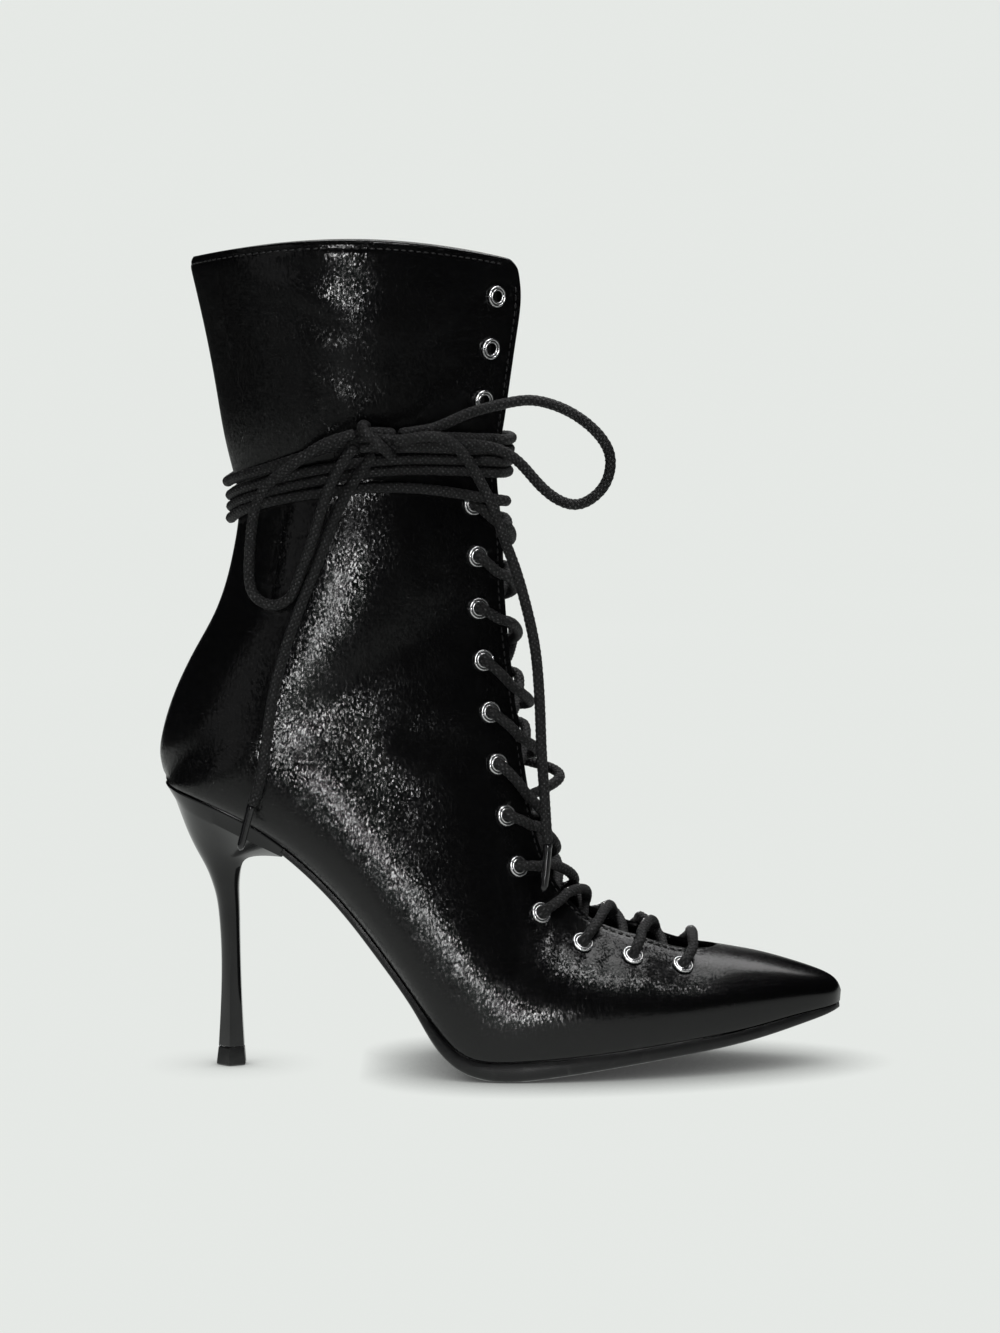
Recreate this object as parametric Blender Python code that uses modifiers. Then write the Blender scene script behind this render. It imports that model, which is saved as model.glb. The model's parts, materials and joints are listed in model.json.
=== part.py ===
"""Lace-up stiletto boot for the right foot, standing empty on its sole and heel.

Built in millimetres on the boot's own lines and scaled to metres: x runs from the heel
to the toe, y from the lateral (outer) side to the medial side, z up from the floor.
"""

import math
from collections import namedtuple

import bmesh
import bpy
import numpy as np
from mathutils import Matrix, Vector

# Driving sizes, in millimetres
MM = 0.001
WALL = 1.8                 # leather and lining of the upper
CLEARANCE = 0.3            # air between pieces that touch
LACE_RADIUS = 1.8
EYELET_COUNT = 16          # on each side of the throat
EYELET_INSET = 10.8        # from the throat edge to an eyelet's middle
INSTEP_INSET = 5.0         # more of it where the row of eyelets rounds the instep
FIRST_EYELET = 12.8        # along the row of eyelets, from the throat's toe end
EYELET_PITCH = 17.7
EYELET_SIDES = 8
EYELET_RADIUS = 3.7
EYELET_HEIGHT = 1.0
BARREL_RADIUS = 2.35
BORE_RADIUS = 2.0
HOLE_RADIUS = 2.85
HOLE_DEPTH = 9.0
LACED_PAIRS = 12           # pairs that the lace crosses, counted from the toe
WRAP_PULL = 2.5            # how far the wound lace pulls the leather in
WRAP_BAND = 16.0           # reach of that pull above and below the middle of the turns
SHAFT_BACK, SHAFT_FRONT = 24.0, 118.0   # back and front of the shaft at the turns
THROAT_HALF = 14.0         # half of the throat's opening over the vamp
COLLAR_HALF = 9.5          # half of the throat's opening at the collar
INSOLE_INSET = 3.0
INSOLE_THICKNESS = 2.0
SOLE_OVERHANG = 0.6        # outsole beyond the upper's feather line
SOLE_EDGE_LIFT = 1.5       # rounding of the tread towards its edge
LACE_OVER_EYELET = EYELET_HEIGHT + 2 * CLEARANCE + LACE_RADIUS
LACE_OVER_EDGE = LACE_RADIUS + 3 * CLEARANCE
BAR_DROP = 0.2             # stations from the first eyelets to the lace's bottom bar
LATERAL, MEDIAL = -1, 1

# Sections of the upper, from the toe to the collar. Each joins a point of the front line
# (toe ridge, then throat edge) to a point of the base line (feather line, then back seam).
# half: half width where it is widest, feather: share of it at the base line,
# widest: how far up the section that is, nose and tail: 0.5 round, 1 pointed,
# sole: outsole thickness, swing: middle of the section towards the medial side,
# crown: rise of the section between its ends.
Station = namedtuple(
    "Station", "front_x front_z base_x base_z half feather widest nose tail sole swing crown")
STATIONS = [
    Station(234.9, 24.6, 234.6, 20.9, 0.0, 0.94, 0.36, 0.50, 0.50, 1.6, 6.5, 0),   # tip
    Station(233.4, 28.0, 232.6, 20.7, 5.2, 0.94, 0.36, 0.50, 0.50, 1.9, 6.3, 0),
    Station(229.0, 31.2, 227.6, 20.1, 10.4, 0.94, 0.36, 0.50, 0.50, 2.8, 5.8, 0),
    Station(219.5, 34.7, 217.0, 18.6, 16.6, 0.94, 0.35, 0.50, 0.50, 4.0, 4.9, 0),  # toe
    Station(206.0, 38.6, 202.0, 15.7, 23.2, 0.94, 0.33, 0.52, 0.50, 4.7, 3.6, 0),
    Station(191.8, 41.4, 184.5, 13.2, 29.2, 0.94, 0.31, 0.58, 0.50, 5.2, 2.4, 0),  # throat end
    Station(176.5, 44.4, 166.5, 11.0, 33.8, 0.94, 0.29, 0.72, 0.50, 5.6, 1.4, 0),
    Station(162.0, 47.6, 148.5, 9.0, 37.0, 0.94, 0.28, 0.82, 0.50, 6.2, 0.6, 0),
    Station(149.8, 52.0, 131.0, 7.6, 38.6, 0.94, 0.27, 0.86, 0.50, 7.2, 0.1, 0),   # ball
    Station(140.6, 58.8, 116.5, 6.9, 38.4, 0.935, 0.26, 0.87, 0.50, 7.4, -0.3, 0),
    Station(134.2, 68.0, 105.5, 8.4, 37.2, 0.905, 0.25, 0.87, 0.50, 6.0, -0.6, 0),  # instep
    Station(129.6, 79.5, 97.0, 15.0, 35.8, 0.845, 0.25, 0.87, 0.50, 4.4, -0.8, 0),
    Station(126.6, 92.5, 88.5, 26.2, 34.5, 0.763, 0.25, 0.87, 0.50, 2.9, -0.9, 0),
    Station(124.4, 106.5, 77.5, 41.3, 33.3, 0.69, 0.25, 0.87, 0.50, 2.8, -0.9, 0),  # waist
    Station(122.5, 121.0, 64.5, 57.8, 32.4, 0.66, 0.24, 0.88, 0.50, 2.7, -0.7, 0),
    Station(120.8, 134.5, 50.0, 72.6, 31.8, 0.665, 0.23, 0.89, 0.50, 2.6, -0.5, 0),  # breast
    Station(119.5, 146.0, 35.0, 84.2, 31.4, 0.70, 0.23, 0.90, 0.50, 2.6, -0.3, 0),
    Station(118.6, 155.5, 20.0, 92.0, 31.2, 0.715, 0.24, 0.92, 0.50, 2.6, -0.1, 0),  # seat
    Station(118.1, 163.0, 8.0, 96.9, 31.1, 0.72, 0.26, 0.93, 0.50, 2.6, 0, 0),
    Station(117.8, 169.0, 1.6, 100.6, 31.0, 0.72, 0.29, 0.94, 0.50, 2.6, 0, 0),    # heel closes
    Station(117.7, 175.0, -0.6, 107.0, 31.0, 0.72, 0.33, 0.95, 0.50, 2.6, 0, 0),
    Station(117.6, 181.5, 0.4, 115.5, 30.9, 0.72, 0.37, 0.96, 0.51, 2.6, 0, 0),    # heel back
    Station(117.6, 189.0, 4.4, 128.5, 30.6, 0.72, 0.41, 0.97, 0.53, 2.6, 0, 0),
    Station(117.7, 197.5, 11.4, 143.5, 30.2, 0.72, 0.44, 0.98, 0.56, 2.6, 0, 0),
    Station(118.0, 207.0, 18.4, 156.5, 29.9, 0.72, 0.46, 0.99, 0.59, 2.6, 0, 0),   # ankle
    Station(118.5, 217.5, 23.2, 171.0, 30.0, 0.72, 0.47, 1.00, 0.60, 2.6, 0, 0),
    Station(119.2, 229.0, 24.8, 188.0, 30.6, 0.72, 0.47, 1.00, 0.61, 2.6, 0, 0),
    Station(120.6, 241.0, 23.0, 208.0, 32.0, 0.72, 0.47, 1.00, 0.62, 2.6, 0, 0.4),  # shaft
    Station(122.4, 253.5, 19.8, 231.0, 34.2, 0.72, 0.47, 1.00, 0.62, 2.6, 0, 1.4),
    Station(123.6, 265.5, 15.6, 254.0, 36.8, 0.72, 0.47, 1.00, 0.62, 2.6, 0, 3.4),
    Station(122.2, 277.0, 10.2, 277.8, 39.0, 0.72, 0.47, 1.00, 0.62, 2.6, 0, 6.4),  # collar
]
THROAT_END = 5.0           # station where the throat opens
THROAT_FULL = 7.0          # station where it has its full width
INSTEP = 11.0              # station of the bend in the row of eyelets
INSTEP_SPREAD = 3.3
BREAST = 15.35             # station of the heel breast, where the outsole ends
HEEL_ROUND = 16.0          # station where the seat starts to close
HEEL_CLOSE = 19.0          # station where the two sides meet at the back seam
WRAPPED = 24.0, 27.5       # stations between which the wound lace lies
COLLAR = float(len(STATIONS) - 1)

# Rings of the heel under the seat, from its top to its foot. seat: share of the seat's outline
# left in the ring, facet: share of the six-sided foot
HeelRing = namedtuple("HeelRing", "back_x back_z front_x front_z half seat facet")
HEEL_RINGS = [
    HeelRing(4.8, 93.2, 42.2, 74.9, 20.6, 1.0, 0.0),
    HeelRing(8.6, 82.2, 36.0, 74.2, 14.6, 0.7, 0.0),
    HeelRing(12.1, 74.5, 30.2, 72.8, 10.2, 0.4, 0.0),
    HeelRing(15.5, 68.0, 27.5, 69.2, 7.4, 0.2, 0.0),
    HeelRing(17.9, 61.4, 26.6, 62.6, 5.6, 0.0, 0.0),
    HeelRing(19.4, 53.6, 26.7, 53.8, 4.5, 0.0, 0.1),
    HeelRing(20.3, 38.0, 26.9, 38.0, 4.0, 0.0, 0.3),
    HeelRing(20.0, 20.7, 27.4, 20.7, 4.3, 0.0, 0.8),
    HeelRing(19.3, 6.6, 28.1, 6.6, 5.1, 0.0, 1.0),
]
LIFT_RINGS = [
    HeelRing(19.25, 6.3, 28.1, 6.3, 5.1, 0.0, 1.0),
    HeelRing(18.5, 0.0, 28.6, 0.0, 5.5, 0.0, 1.0),
]
# Half outlines of the heel stem, from the breast corner to the back: share of the length and width
ROUND_STEM = [(0, 0.55), (0.05, 0.74), (0.16, 0.90), (0.32, 1.0),
              (0.52, 1.0), (0.75, 0.84), (0.93, 0.46), (1, 0)]
FACET_STEM = [(0, 0.5), (0.14, 0.63), (0.28, 0.76), (0.42, 0.88),
              (0.55, 1.0), (0.78, 0.6), (1, 0.22), (1, 0)]

# Heights of the lace's turns round the ankle, at the back, lateral side, front and medial side
WrapTurn = namedtuple("WrapTurn", "back lateral front medial")
WRAP_TURNS = [
    WrapTurn(188.8, 198.0, 199.0, 196.0),
    WrapTurn(193.2, 202.4, 203.6, 200.5),
    WrapTurn(197.6, 206.8, 208.2, 205.0),
    WrapTurn(202.2, 211.2, 213.0, 208.0),
]

# The bow: where its knot lies and the routes of its loops and ends, chosen by hand
KNOT_CENTRE = (75.5, -40.6, 218.6)
KNOT_RADII = (5.6, 3.4, 3.9)
FRONT_LOOP = [
    (82.4, -39.6, 219.9), (89.0, -39.0, 220.8), (96.1, -38.2, 222.4), (105.5, -36.6, 226.4),
    (114.9, -35.2, 229.1), (124.3, -33.8, 230.8), (132.0, -32.8, 230.0), (140.2, -31.9, 226.7),
    (147.9, -31.2, 221.0), (152.6, -30.8, 214.6), (153.6, -30.6, 208.4), (151.6, -30.6, 202.1),
    (146.9, -30.7, 197.4), (141.2, -30.9, 195.7), (134.8, -31.3, 198.1), (129.1, -31.9, 203.1),
    (124.3, -32.7, 208.6), (119.6, -33.7, 212.6), (113.9, -35.0, 215.1), (106.0, -36.6, 216.2),
    (98.0, -38.0, 216.0), (90.0, -39.2, 215.6), (82.4, -40.2, 215.6),
]
REAR_LOOP = [
    (68.8, -40.4, 220.2), (63.5, -40.6, 218.6), (56.5, -40.4, 215.8), (48.6, -39.0, 210.4),
    (41.0, -36.6, 204.8), (36.0, -34.2, 198.6), (33.6, -32.4, 191.0), (32.6, -31.4, 182.0),
    (32.6, -31.0, 173.0), (34.9, -31.0, 165.6), (39.3, -31.4, 162.0), (43.9, -32.0, 163.8),
    (48.4, -33.2, 170.4), (52.1, -35.0, 179.6), (55.2, -37.4, 189.0), (58.0, -39.4, 198.2),
    (61.6, -40.6, 206.4), (65.4, -41.0, 212.4), (68.8, -41.0, 216.0),
]
FRONT_END = [
    (80.4, -43.8, 217.8), (86.0, -43.6, 218.4), (92.0, -43.0, 219.2), (98.0, -42.0, 218.4),
    (103.6, -40.6, 214.0), (107.6, -38.8, 208.0), (111.4, -36.4, 201.0), (114.8, -33.8, 193.4),
    (118.2, -31.4, 183.6), (121.6, -29.4, 174.4), (125.0, -28.0, 162.7), (128.0, -27.4, 149.3),
    (129.4, -27.2, 137.5), (130.1, -27.2, 125.4), (130.6, -27.2, 112.0), (131.4, -27.4, 99.8),
    (132.1, -27.8, 88.7), (132.7, -28.2, 80.0),
]
FRONT_AGLET = [(132.7, -28.2, 79.6), (132.1, -28.6, 71.9), (131.2, -29.0, 64.2)]
REAR_END = [
    (74.0, -38.4, 213.6), (71.4, -37.4, 209.0), (67.8, -36.7, 204.0), (63.8, -36.4, 197.0),
    (60.2, -36.0, 189.2), (57.0, -34.8, 180.6), (53.4, -33.6, 171.4), (49.6, -32.9, 162.0),
    (46.2, -32.7, 153.0), (43.2, -32.8, 143.6), (40.8, -33.1, 134.2), (38.9, -33.5, 124.0),
    (37.6, -33.8, 113.6), (36.0, -33.8, 104.2), (34.2, -33.6, 97.6), (32.6, -33.4, 93.9),
]
REAR_AGLET = [(32.45, -33.4, 93.5), (30.6, -33.2, 86.3), (28.7, -33.0, 79.0)]
AGLET_RADIUS = 1.45


class Spline:
    """Smooth curve through the rows of a table, with the row number as its parameter."""

    def __init__(self, rows):
        self.rows = np.array(rows, float)
        count = len(self.rows)
        system = np.eye(count)
        right = np.zeros_like(self.rows)
        for i in range(1, count - 1):
            system[i, i - 1:i + 2] = 1, 4, 1
            right[i] = 6 * (self.rows[i - 1] - 2 * self.rows[i] + self.rows[i + 1])
        self.bends = np.linalg.solve(system, right)

    def at(self, s):
        i = min(max(int(s), 0), len(self.rows) - 2)
        t = s - i
        r = 1 - t
        bend = (r ** 3 - r) * self.bends[i] + (t ** 3 - t) * self.bends[i + 1]
        return r * self.rows[i] + t * self.rows[i + 1] + bend / 6


UPPER_LINES = Spline(STATIONS)


def station(s):
    return Station(*UPPER_LINES.at(s))


def quarter_rise(s, start, end):
    """0 before start, 1 after end, and a quarter circle between."""
    u = min(max((s - start) / (end - start), 0.0), 1.0)
    return math.sqrt(1 - (1 - u) ** 2)


def throat_half(s):
    """Half of the throat's opening: a round end over the vamp, narrower towards the collar."""
    share = min(max((s - THROAT_FULL) / (COLLAR - THROAT_FULL), 0.0), 1.0)
    return (THROAT_HALF + (COLLAR_HALF - THROAT_HALF) * share) * quarter_rise(s, THROAT_END, THROAT_FULL)


def feather_half(s):
    """Half width of the feather line, closing in an arc round the heel."""
    row = station(s)
    return max(row.half, 0.0) * row.feather * quarter_rise(-s, -HEEL_CLOSE, -HEEL_ROUND)


def wrap_pull(x, z):
    """How far in the wound lace draws the shaft at this length and height."""
    share = min(max((x - SHAFT_BACK) / (SHAFT_FRONT - SHAFT_BACK), 0.0), 1.0)
    back, front = (sum(WRAP_TURNS[i][column] for i in (0, -1)) / 2 for column in (0, 2))
    return WRAP_PULL * math.exp(-((z - back - (front - back) * math.sqrt(share)) / WRAP_BAND) ** 2)


def skin(s, side, a):
    """Point of the outer skin: a is -1 at the base line, 0 at the widest line, 1 at the front line."""
    row = station(s)
    low, high = feather_half(s), throat_half(s)
    power, inner = (row.nose, high) if a >= 0 else (row.tail, low)
    roundness = 2 * (1 - power)
    v = abs(a)
    t = roundness * math.sin(v * math.pi / 2) + (1 - roundness) * v
    reach = inner + (max(row.half, inner) - inner) * max(1 - t * t, 0.0) ** power
    up = row.widest + (1 - row.widest) * t if a >= 0 else row.widest * (1 - t)
    x = row.base_x + (row.front_x - row.base_x) * up
    z = row.base_z + (row.front_z - row.base_z) * up + row.crown * 4 * up * (1 - up)
    point = np.array((x, row.swing + side * reach, z))
    out = point - np.array(((SHAFT_BACK + SHAFT_FRONT) / 2, 0, z))
    return point - out / max(np.linalg.norm(out), 1.0) * wrap_pull(x, z)


def skin_normal(s, side, a):
    """Unit normal of the outer skin, pointing out of the boot."""
    ds, da = 0.02, 0.02
    along = skin(min(s + ds, COLLAR), side, a) - skin(max(s - ds, 0), side, a)
    around = skin(s, side, min(a + da, 1)) - skin(s, side, max(a - da, -1))
    normal = np.cross(along, around) * side
    return normal / np.linalg.norm(normal)


def over_skin(s, side, a, height):
    return skin(s, side, a) + skin_normal(s, side, a) * height


def throat_front(s):
    """Direction straight out of the throat's opening."""
    outward = skin_normal(s, LATERAL, 1) + skin_normal(s, MEDIAL, 1)
    return outward / np.linalg.norm(outward)


def over_edge(s, side, height):
    """Point that clears the throat edge by this height, on the way round it."""
    outward = skin_normal(s, side, 1) + throat_front(s)
    return skin(s, side, 1) + outward / np.linalg.norm(outward) * height


def base_frame(s):
    """Point of the base line at the section's middle, and the direction up from it."""
    row, before, after = station(s), station(max(s - 0.05, 0)), station(s + 0.05)
    run = np.array((after.base_x - before.base_x, 0, after.base_z - before.base_z))
    up = np.cross(run / np.linalg.norm(run), (0, 1, 0))
    return np.array((row.base_x, row.swing, row.base_z)), up * np.sign(up[2])


def smooth_route(points, count):
    """count points along a smooth curve through a route's own points."""
    curve = Spline(points)
    return [curve.at(s) for s in np.linspace(0, len(points) - 1, count)]


def material(name, colour, roughness, metallic=0.0):
    new = bpy.data.materials.new(name)
    new.use_nodes = True
    shader = new.node_tree.nodes["Principled BSDF"]
    shader.inputs["Base Color"].default_value = (*colour, 1)
    shader.inputs["Roughness"].default_value = roughness
    shader.inputs["Metallic"].default_value = metallic
    return new


def add_object(name, data, collection, finish):
    new = bpy.data.objects.new(name, data)
    if finish and not data.materials:
        data.materials.append(finish)
    collection.objects.link(new)
    return new


def loft(rings, cap_start=True, cap_end=True):
    """Mesh through closed rings with equal counts of points."""
    mesh = bpy.data.meshes.new("loft")
    shape = bmesh.new()
    loops = [[shape.verts.new(Vector(p) * MM) for p in ring] for ring in rings]
    count = len(loops[0])
    for here, there in zip(loops, loops[1:]):
        for j in range(count):
            k = (j + 1) % count
            shape.faces.new((here[j], here[k], there[k], there[j]))
    if cap_start:
        shape.faces.new(loops[0][::-1])
    if cap_end:
        shape.faces.new(loops[-1])
    bmesh.ops.remove_doubles(shape, verts=shape.verts, dist=1e-5)
    bmesh.ops.recalc_face_normals(shape, faces=shape.faces)
    shape.to_mesh(mesh)
    shape.free()
    mesh.shade_smooth()
    mesh.set_sharp_from_angle(angle=math.radians(35))
    return mesh


def build_upper(collection, cutter, finish):
    """The outer skin as two sheets that share the toe ridge and the back seam, made solid inwards."""
    toe = np.linspace(0, THROAT_END, 8)[:-1]
    foot = np.linspace(THROAT_END, HEEL_CLOSE, 19)[:-1]
    ankle = np.linspace(HEEL_CLOSE, WRAPPED[0], 6)[:-1]
    shaft = np.concatenate((ankle, np.linspace(*WRAPPED, 7), (28.7, COLLAR)))
    sections = np.concatenate((toe, foot, shaft))
    around = np.concatenate((np.linspace(-1, 0, 5)[:-1], np.linspace(0, 1, 7)))
    shape = bmesh.new()
    for side in (LATERAL, MEDIAL):
        grid = [[shape.verts.new(Vector(skin(s, side, a)) * MM) for a in around] for s in sections]
        for here, there in zip(grid, grid[1:]):
            for j in range(len(around) - 1):
                corners = (here[j], there[j], there[j + 1], here[j + 1])
                shape.faces.new(corners if side == MEDIAL else corners[::-1])
    bmesh.ops.remove_doubles(shape, verts=shape.verts, dist=1e-6)
    mesh = bpy.data.meshes.new("upper")
    shape.to_mesh(mesh)
    shape.free()
    mesh.shade_smooth()
    upper = add_object("upper", mesh, collection, finish)
    wall = upper.modifiers.new("wall", "SOLIDIFY")
    wall.thickness = WALL * MM
    wall.offset = -1
    holes = upper.modifiers.new("eyelet_holes", "BOOLEAN")
    holes.operation = "DIFFERENCE"
    holes.solver = "EXACT"
    holes.object = cutter
    return upper


def across(s, half, low, high, edge_lift=0.0):
    """Ring across the base line: a slab from low to high above it, its lower edges lifted."""
    middle, up = base_frame(s)
    bottom = [(-1, edge_lift), (-0.82, 0), (0, 0), (0.82, 0), (1, edge_lift)]
    ring = [middle + up * (low + lift) + np.array((0, share * half, 0)) for share, lift in bottom]
    ring += [middle + up * high + np.array((0, share * half, 0)) for share in (1, 0, -1)]
    return ring


def build_outsole(collection, finish):
    """From the toe tip to the heel breast, with a flat tread under the ball."""
    rings = []
    for s in np.concatenate(([0.25], np.linspace(0.7, 5, 9), np.linspace(5.6, BREAST, 18))):
        row = station(s)
        overhang = SOLE_OVERHANG * min(1.0, feather_half(s) / 30)
        lift = SOLE_EDGE_LIFT * min(1.0, row.sole / 7)
        ring = across(s, feather_half(s) + overhang, -CLEARANCE - row.sole, -CLEARANCE, lift)
        rings.append([np.array((x, y, max(z, 0.0))) for x, y, z in ring])
    return add_object("outsole", loft(rings), collection, finish)


def build_insole(collection, finish):
    stops = np.concatenate((np.linspace(2.2, 5, 6), np.linspace(5.7, 17, 15), (17.4, 17.7, 17.95)))
    rings = [across(s, feather_half(s) - INSOLE_INSET, 0.0, INSOLE_THICKNESS) for s in stops]
    return add_object("insole", loft(rings), collection, finish)


def stem_half_outline(facet):
    return [np.array(a) * (1 - facet) + np.array(b) * facet for a, b in zip(ROUND_STEM, FACET_STEM)]


def seat_half_outline():
    """The seat's half outline from the breast to the back, as shares, with the stations it passes."""
    stops = [BREAST + 0.03 + (HEEL_CLOSE - 0.03 - BREAST) * math.sin(math.pi / 2 * i / 7) for i in range(8)]
    first, last = station(stops[0]).base_x, station(stops[-1]).base_x
    widest = max(feather_half(s) for s in stops)
    shares = [((first - station(s).base_x) / (first - last), feather_half(s) / widest) for s in stops]
    return stops, shares


def heel_ring(row):
    """One ring of the heel: the breast's two corners first, then round the back."""
    seat = seat_half_outline()[1]
    half = []
    for (seat_x, seat_y), (stem_x, stem_y) in zip(seat, stem_half_outline(row.facet)):
        along = seat_x * row.seat + stem_x * (1 - row.seat)
        wide = row.half * (seat_y * row.seat + stem_y * (1 - row.seat))
        x = row.front_x + (row.back_x - row.front_x) * along
        half.append((x, wide, row.front_z + (row.back_z - row.front_z) * along))
    return [(x, -y, z) for x, y, z in half] + [(x, y, z) for x, y, z in half[-2::-1]]


def build_heel(collection, finish):
    """Its top follows the seat of the upper, and its stem runs down to the top lift."""
    top = []
    for s in seat_half_outline()[0]:
        middle, up = base_frame(s)
        x, y, z = middle - up * CLEARANCE
        top.append((x, y, feather_half(s), z))
    ring = [(x, y - half, z) for x, y, half, z in top] + [(x, y + half, z) for x, y, half, z in top[-2::-1]]
    mesh = loft([ring] + [heel_ring(row) for row in HEEL_RINGS])
    return add_object("heel", mesh, collection, finish)


def build_heel_lift(collection, finish):
    return add_object("heel_lift", loft([heel_ring(row) for row in LIFT_RINGS]), collection, finish)


def inset_from_edge(s, side, distance):
    """How far round the section lies a point at this distance from the throat edge."""
    step = 0.01
    a, gone = 1.0, 0.0
    while gone < distance:
        gone += np.linalg.norm(skin(s, side, a - step) - skin(s, side, a))
        a -= step
    return a


def eyelet_share(s, side):
    """Share round the section of an eyelet at this station."""
    bend = math.exp(-((s - INSTEP) / INSTEP_SPREAD) ** 2)
    return inset_from_edge(s, side, EYELET_INSET + INSTEP_INSET * bend)


def eyelet_places():
    """For each side, the (station, share round the section) of its eyelets, evenly spaced from the toe up."""
    stops = np.linspace(THROAT_END, COLLAR, 120)
    row = [skin(s, LATERAL, eyelet_share(s, LATERAL)) * (1, 0, 1) for s in stops]
    run = np.concatenate(([0], np.cumsum(np.linalg.norm(np.diff(row, axis=0), axis=1))))
    stations = np.interp(FIRST_EYELET + EYELET_PITCH * np.arange(EYELET_COUNT), run, stops)
    return {side: [(s, eyelet_share(s, side)) for s in stations] for side in (LATERAL, MEDIAL)}


def eyelet_matrix(s, side, a):
    """Placement with +Z out of the leather."""
    turn = Vector(skin_normal(s, side, a)).to_track_quat("Z", "Y").to_matrix().to_4x4()
    return Matrix.Translation(Vector(skin(s, side, a)) * MM) @ turn


def build_hole_cutter(collection, places):
    shape = bmesh.new()
    for side, spots in places.items():
        for s, a in spots:
            bmesh.ops.create_cone(shape, cap_ends=True, segments=EYELET_SIDES, depth=HOLE_DEPTH * MM,
                                  radius1=HOLE_RADIUS * MM, radius2=HOLE_RADIUS * MM,
                                  matrix=eyelet_matrix(s, side, a))
    mesh = bpy.data.meshes.new("eyelet_hole_cutter")
    shape.to_mesh(mesh)
    shape.free()
    cutter = add_object("eyelet_hole_cutter", mesh, collection, None)
    cutter.hide_render = True
    cutter.display_type = "WIRE"
    return cutter


def eyelet_profile():
    """Closed half profile of an eyelet, out from the leather: flange on top, barrel through the wall."""
    reach = WALL + 0.6
    outline = [(BORE_RADIUS, EYELET_HEIGHT), (EYELET_RADIUS, CLEARANCE), (BARREL_RADIUS, CLEARANCE),
               (BARREL_RADIUS, -reach), (BORE_RADIUS, -reach)]
    mesh = bpy.data.meshes.new("eyelet")
    shape = bmesh.new()
    corners = [shape.verts.new((r * MM, 0, z * MM)) for r, z in outline]
    for i, corner in enumerate(corners):
        shape.edges.new((corner, corners[(i + 1) % len(corners)]))
    shape.to_mesh(mesh)
    shape.free()
    return mesh


def build_eyelets(collection, places, finish):
    profile = eyelet_profile()
    for side, spots in places.items():
        for i, (s, a) in enumerate(spots):
            name = f"eyelet_{'lateral' if side == LATERAL else 'medial'}_{i + 1:02d}"
            eyelet = add_object(name, profile, collection, finish)
            eyelet.matrix_world = eyelet_matrix(s, side, a)
            turned = eyelet.modifiers.new("turned", "SCREW")
            turned.steps = turned.render_steps = EYELET_SIDES
            turned.use_merge_vertices = True
            turned.merge_threshold = 1e-6


def build_tube(name, points, radius, collection, finish, resolution=2):
    """A cord along computed points: a curve with a round section and filled ends."""
    curve = bpy.data.curves.new(name, "CURVE")
    curve.dimensions = "3D"
    curve.bevel_depth = radius * MM
    curve.bevel_resolution = resolution
    curve.use_fill_caps = True
    spline = curve.splines.new("POLY")
    spline.points.add(len(points) - 1)
    for spot, point in zip(spline.points, points):
        spot.co = (*(Vector(point) * MM), 1)
    return add_object(name, curve, collection, finish)


def crossing(places, level, side, over):
    """Points of one strand over both throat edges, down to the next eyelet of the other side."""
    s_high, s_low = places[side][level][0], places[-side][level - 1][0]
    middle = (s_high + s_low) / 2
    edges = (skin(middle, LATERAL, 1) + skin(middle, MEDIAL, 1)) / 2
    depth = LACE_RADIUS + CLEARANCE / 2
    near = over_edge(s_high + (s_low - s_high) * 0.3, side, LACE_OVER_EDGE)
    far = over_edge(s_high + (s_low - s_high) * 0.7, -side, LACE_OVER_EDGE)
    return [near, edges + throat_front(middle) * (LACE_OVER_EDGE + (depth if over else -depth)), far]


def eyelet_turn(places, level, side):
    """The lace over an eyelet's mouth, turning from the strand above to the strand below."""
    s, a = places[side][level]
    step = 2.2 / EYELET_PITCH * (places[side][level + 1][0] - s)
    return [over_skin(s + ds, side, a, LACE_OVER_EYELET) for ds in (step, -step)]


def lacing_points(places):
    """One lace down from the top laced pair, crossing at each pair, over the bottom bar and up again."""
    top = LACED_PAIRS - 1
    down, up = [], []
    for level in range(top, 0, -1):
        for strand, first in ((down, LATERAL), (up, MEDIAL)):
            side = first if (top - level) % 2 == 0 else -first
            turn = eyelet_turn(places, level, side)
            strand += turn if level < top else turn[1:]
            strand += crossing(places, level, side, over=(side == LATERAL))
    side = LATERAL if top % 2 == 0 else MEDIAL
    s = places[side][0][0] - BAR_DROP
    bar = eyelet_turn(places, 0, side) + [over_edge(s, side, LACE_OVER_EDGE)]
    bar += [over_edge(s, -side, LACE_OVER_EDGE)] + eyelet_turn(places, 0, -side)[::-1]
    return down + bar + up[::-1]


def build_lacing(collection, places, finish):
    points = lacing_points(places)
    return build_tube("lace_crossings", points, LACE_RADIUS, collection, finish, resolution=1)


def station_at_height(side, a, z):
    """Station on one line round the boot, above the heel, where the skin has this height."""
    low, high = HEEL_CLOSE, COLLAR
    for _ in range(40):
        middle = (low + high) / 2
        if skin(middle, side, a)[2] < z:
            low = middle
        else:
            high = middle
    return low


def wrap_points():
    """The lace wound round the ankle, rising a turn at a time, lifted over the eyelets and the throat."""
    heights = []
    for turn in WRAP_TURNS:
        heights += [turn.back, turn.lateral, turn.front, turn.medial]
    rise = Spline([[z] for z in heights])
    half_turn = 12
    points = []
    for half in range(2 * len(WRAP_TURNS) - 1):
        side = LATERAL if half % 2 == 0 else MEDIAL
        for i in range(half_turn + (side == LATERAL)):
            share = i / half_turn
            a = -math.cos(math.pi * share) * -side
            s = station_at_height(side, a, rise.at(2 * half + 2 * share)[0])
            lift = EYELET_HEIGHT * math.exp(-((a - 0.8) / 0.2) ** 2)
            height = LACE_RADIUS + 2 * CLEARANCE + lift
            points.append(over_skin(s, side, a, height) if a < 1 else over_edge(s, side, height))
    return points


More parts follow.
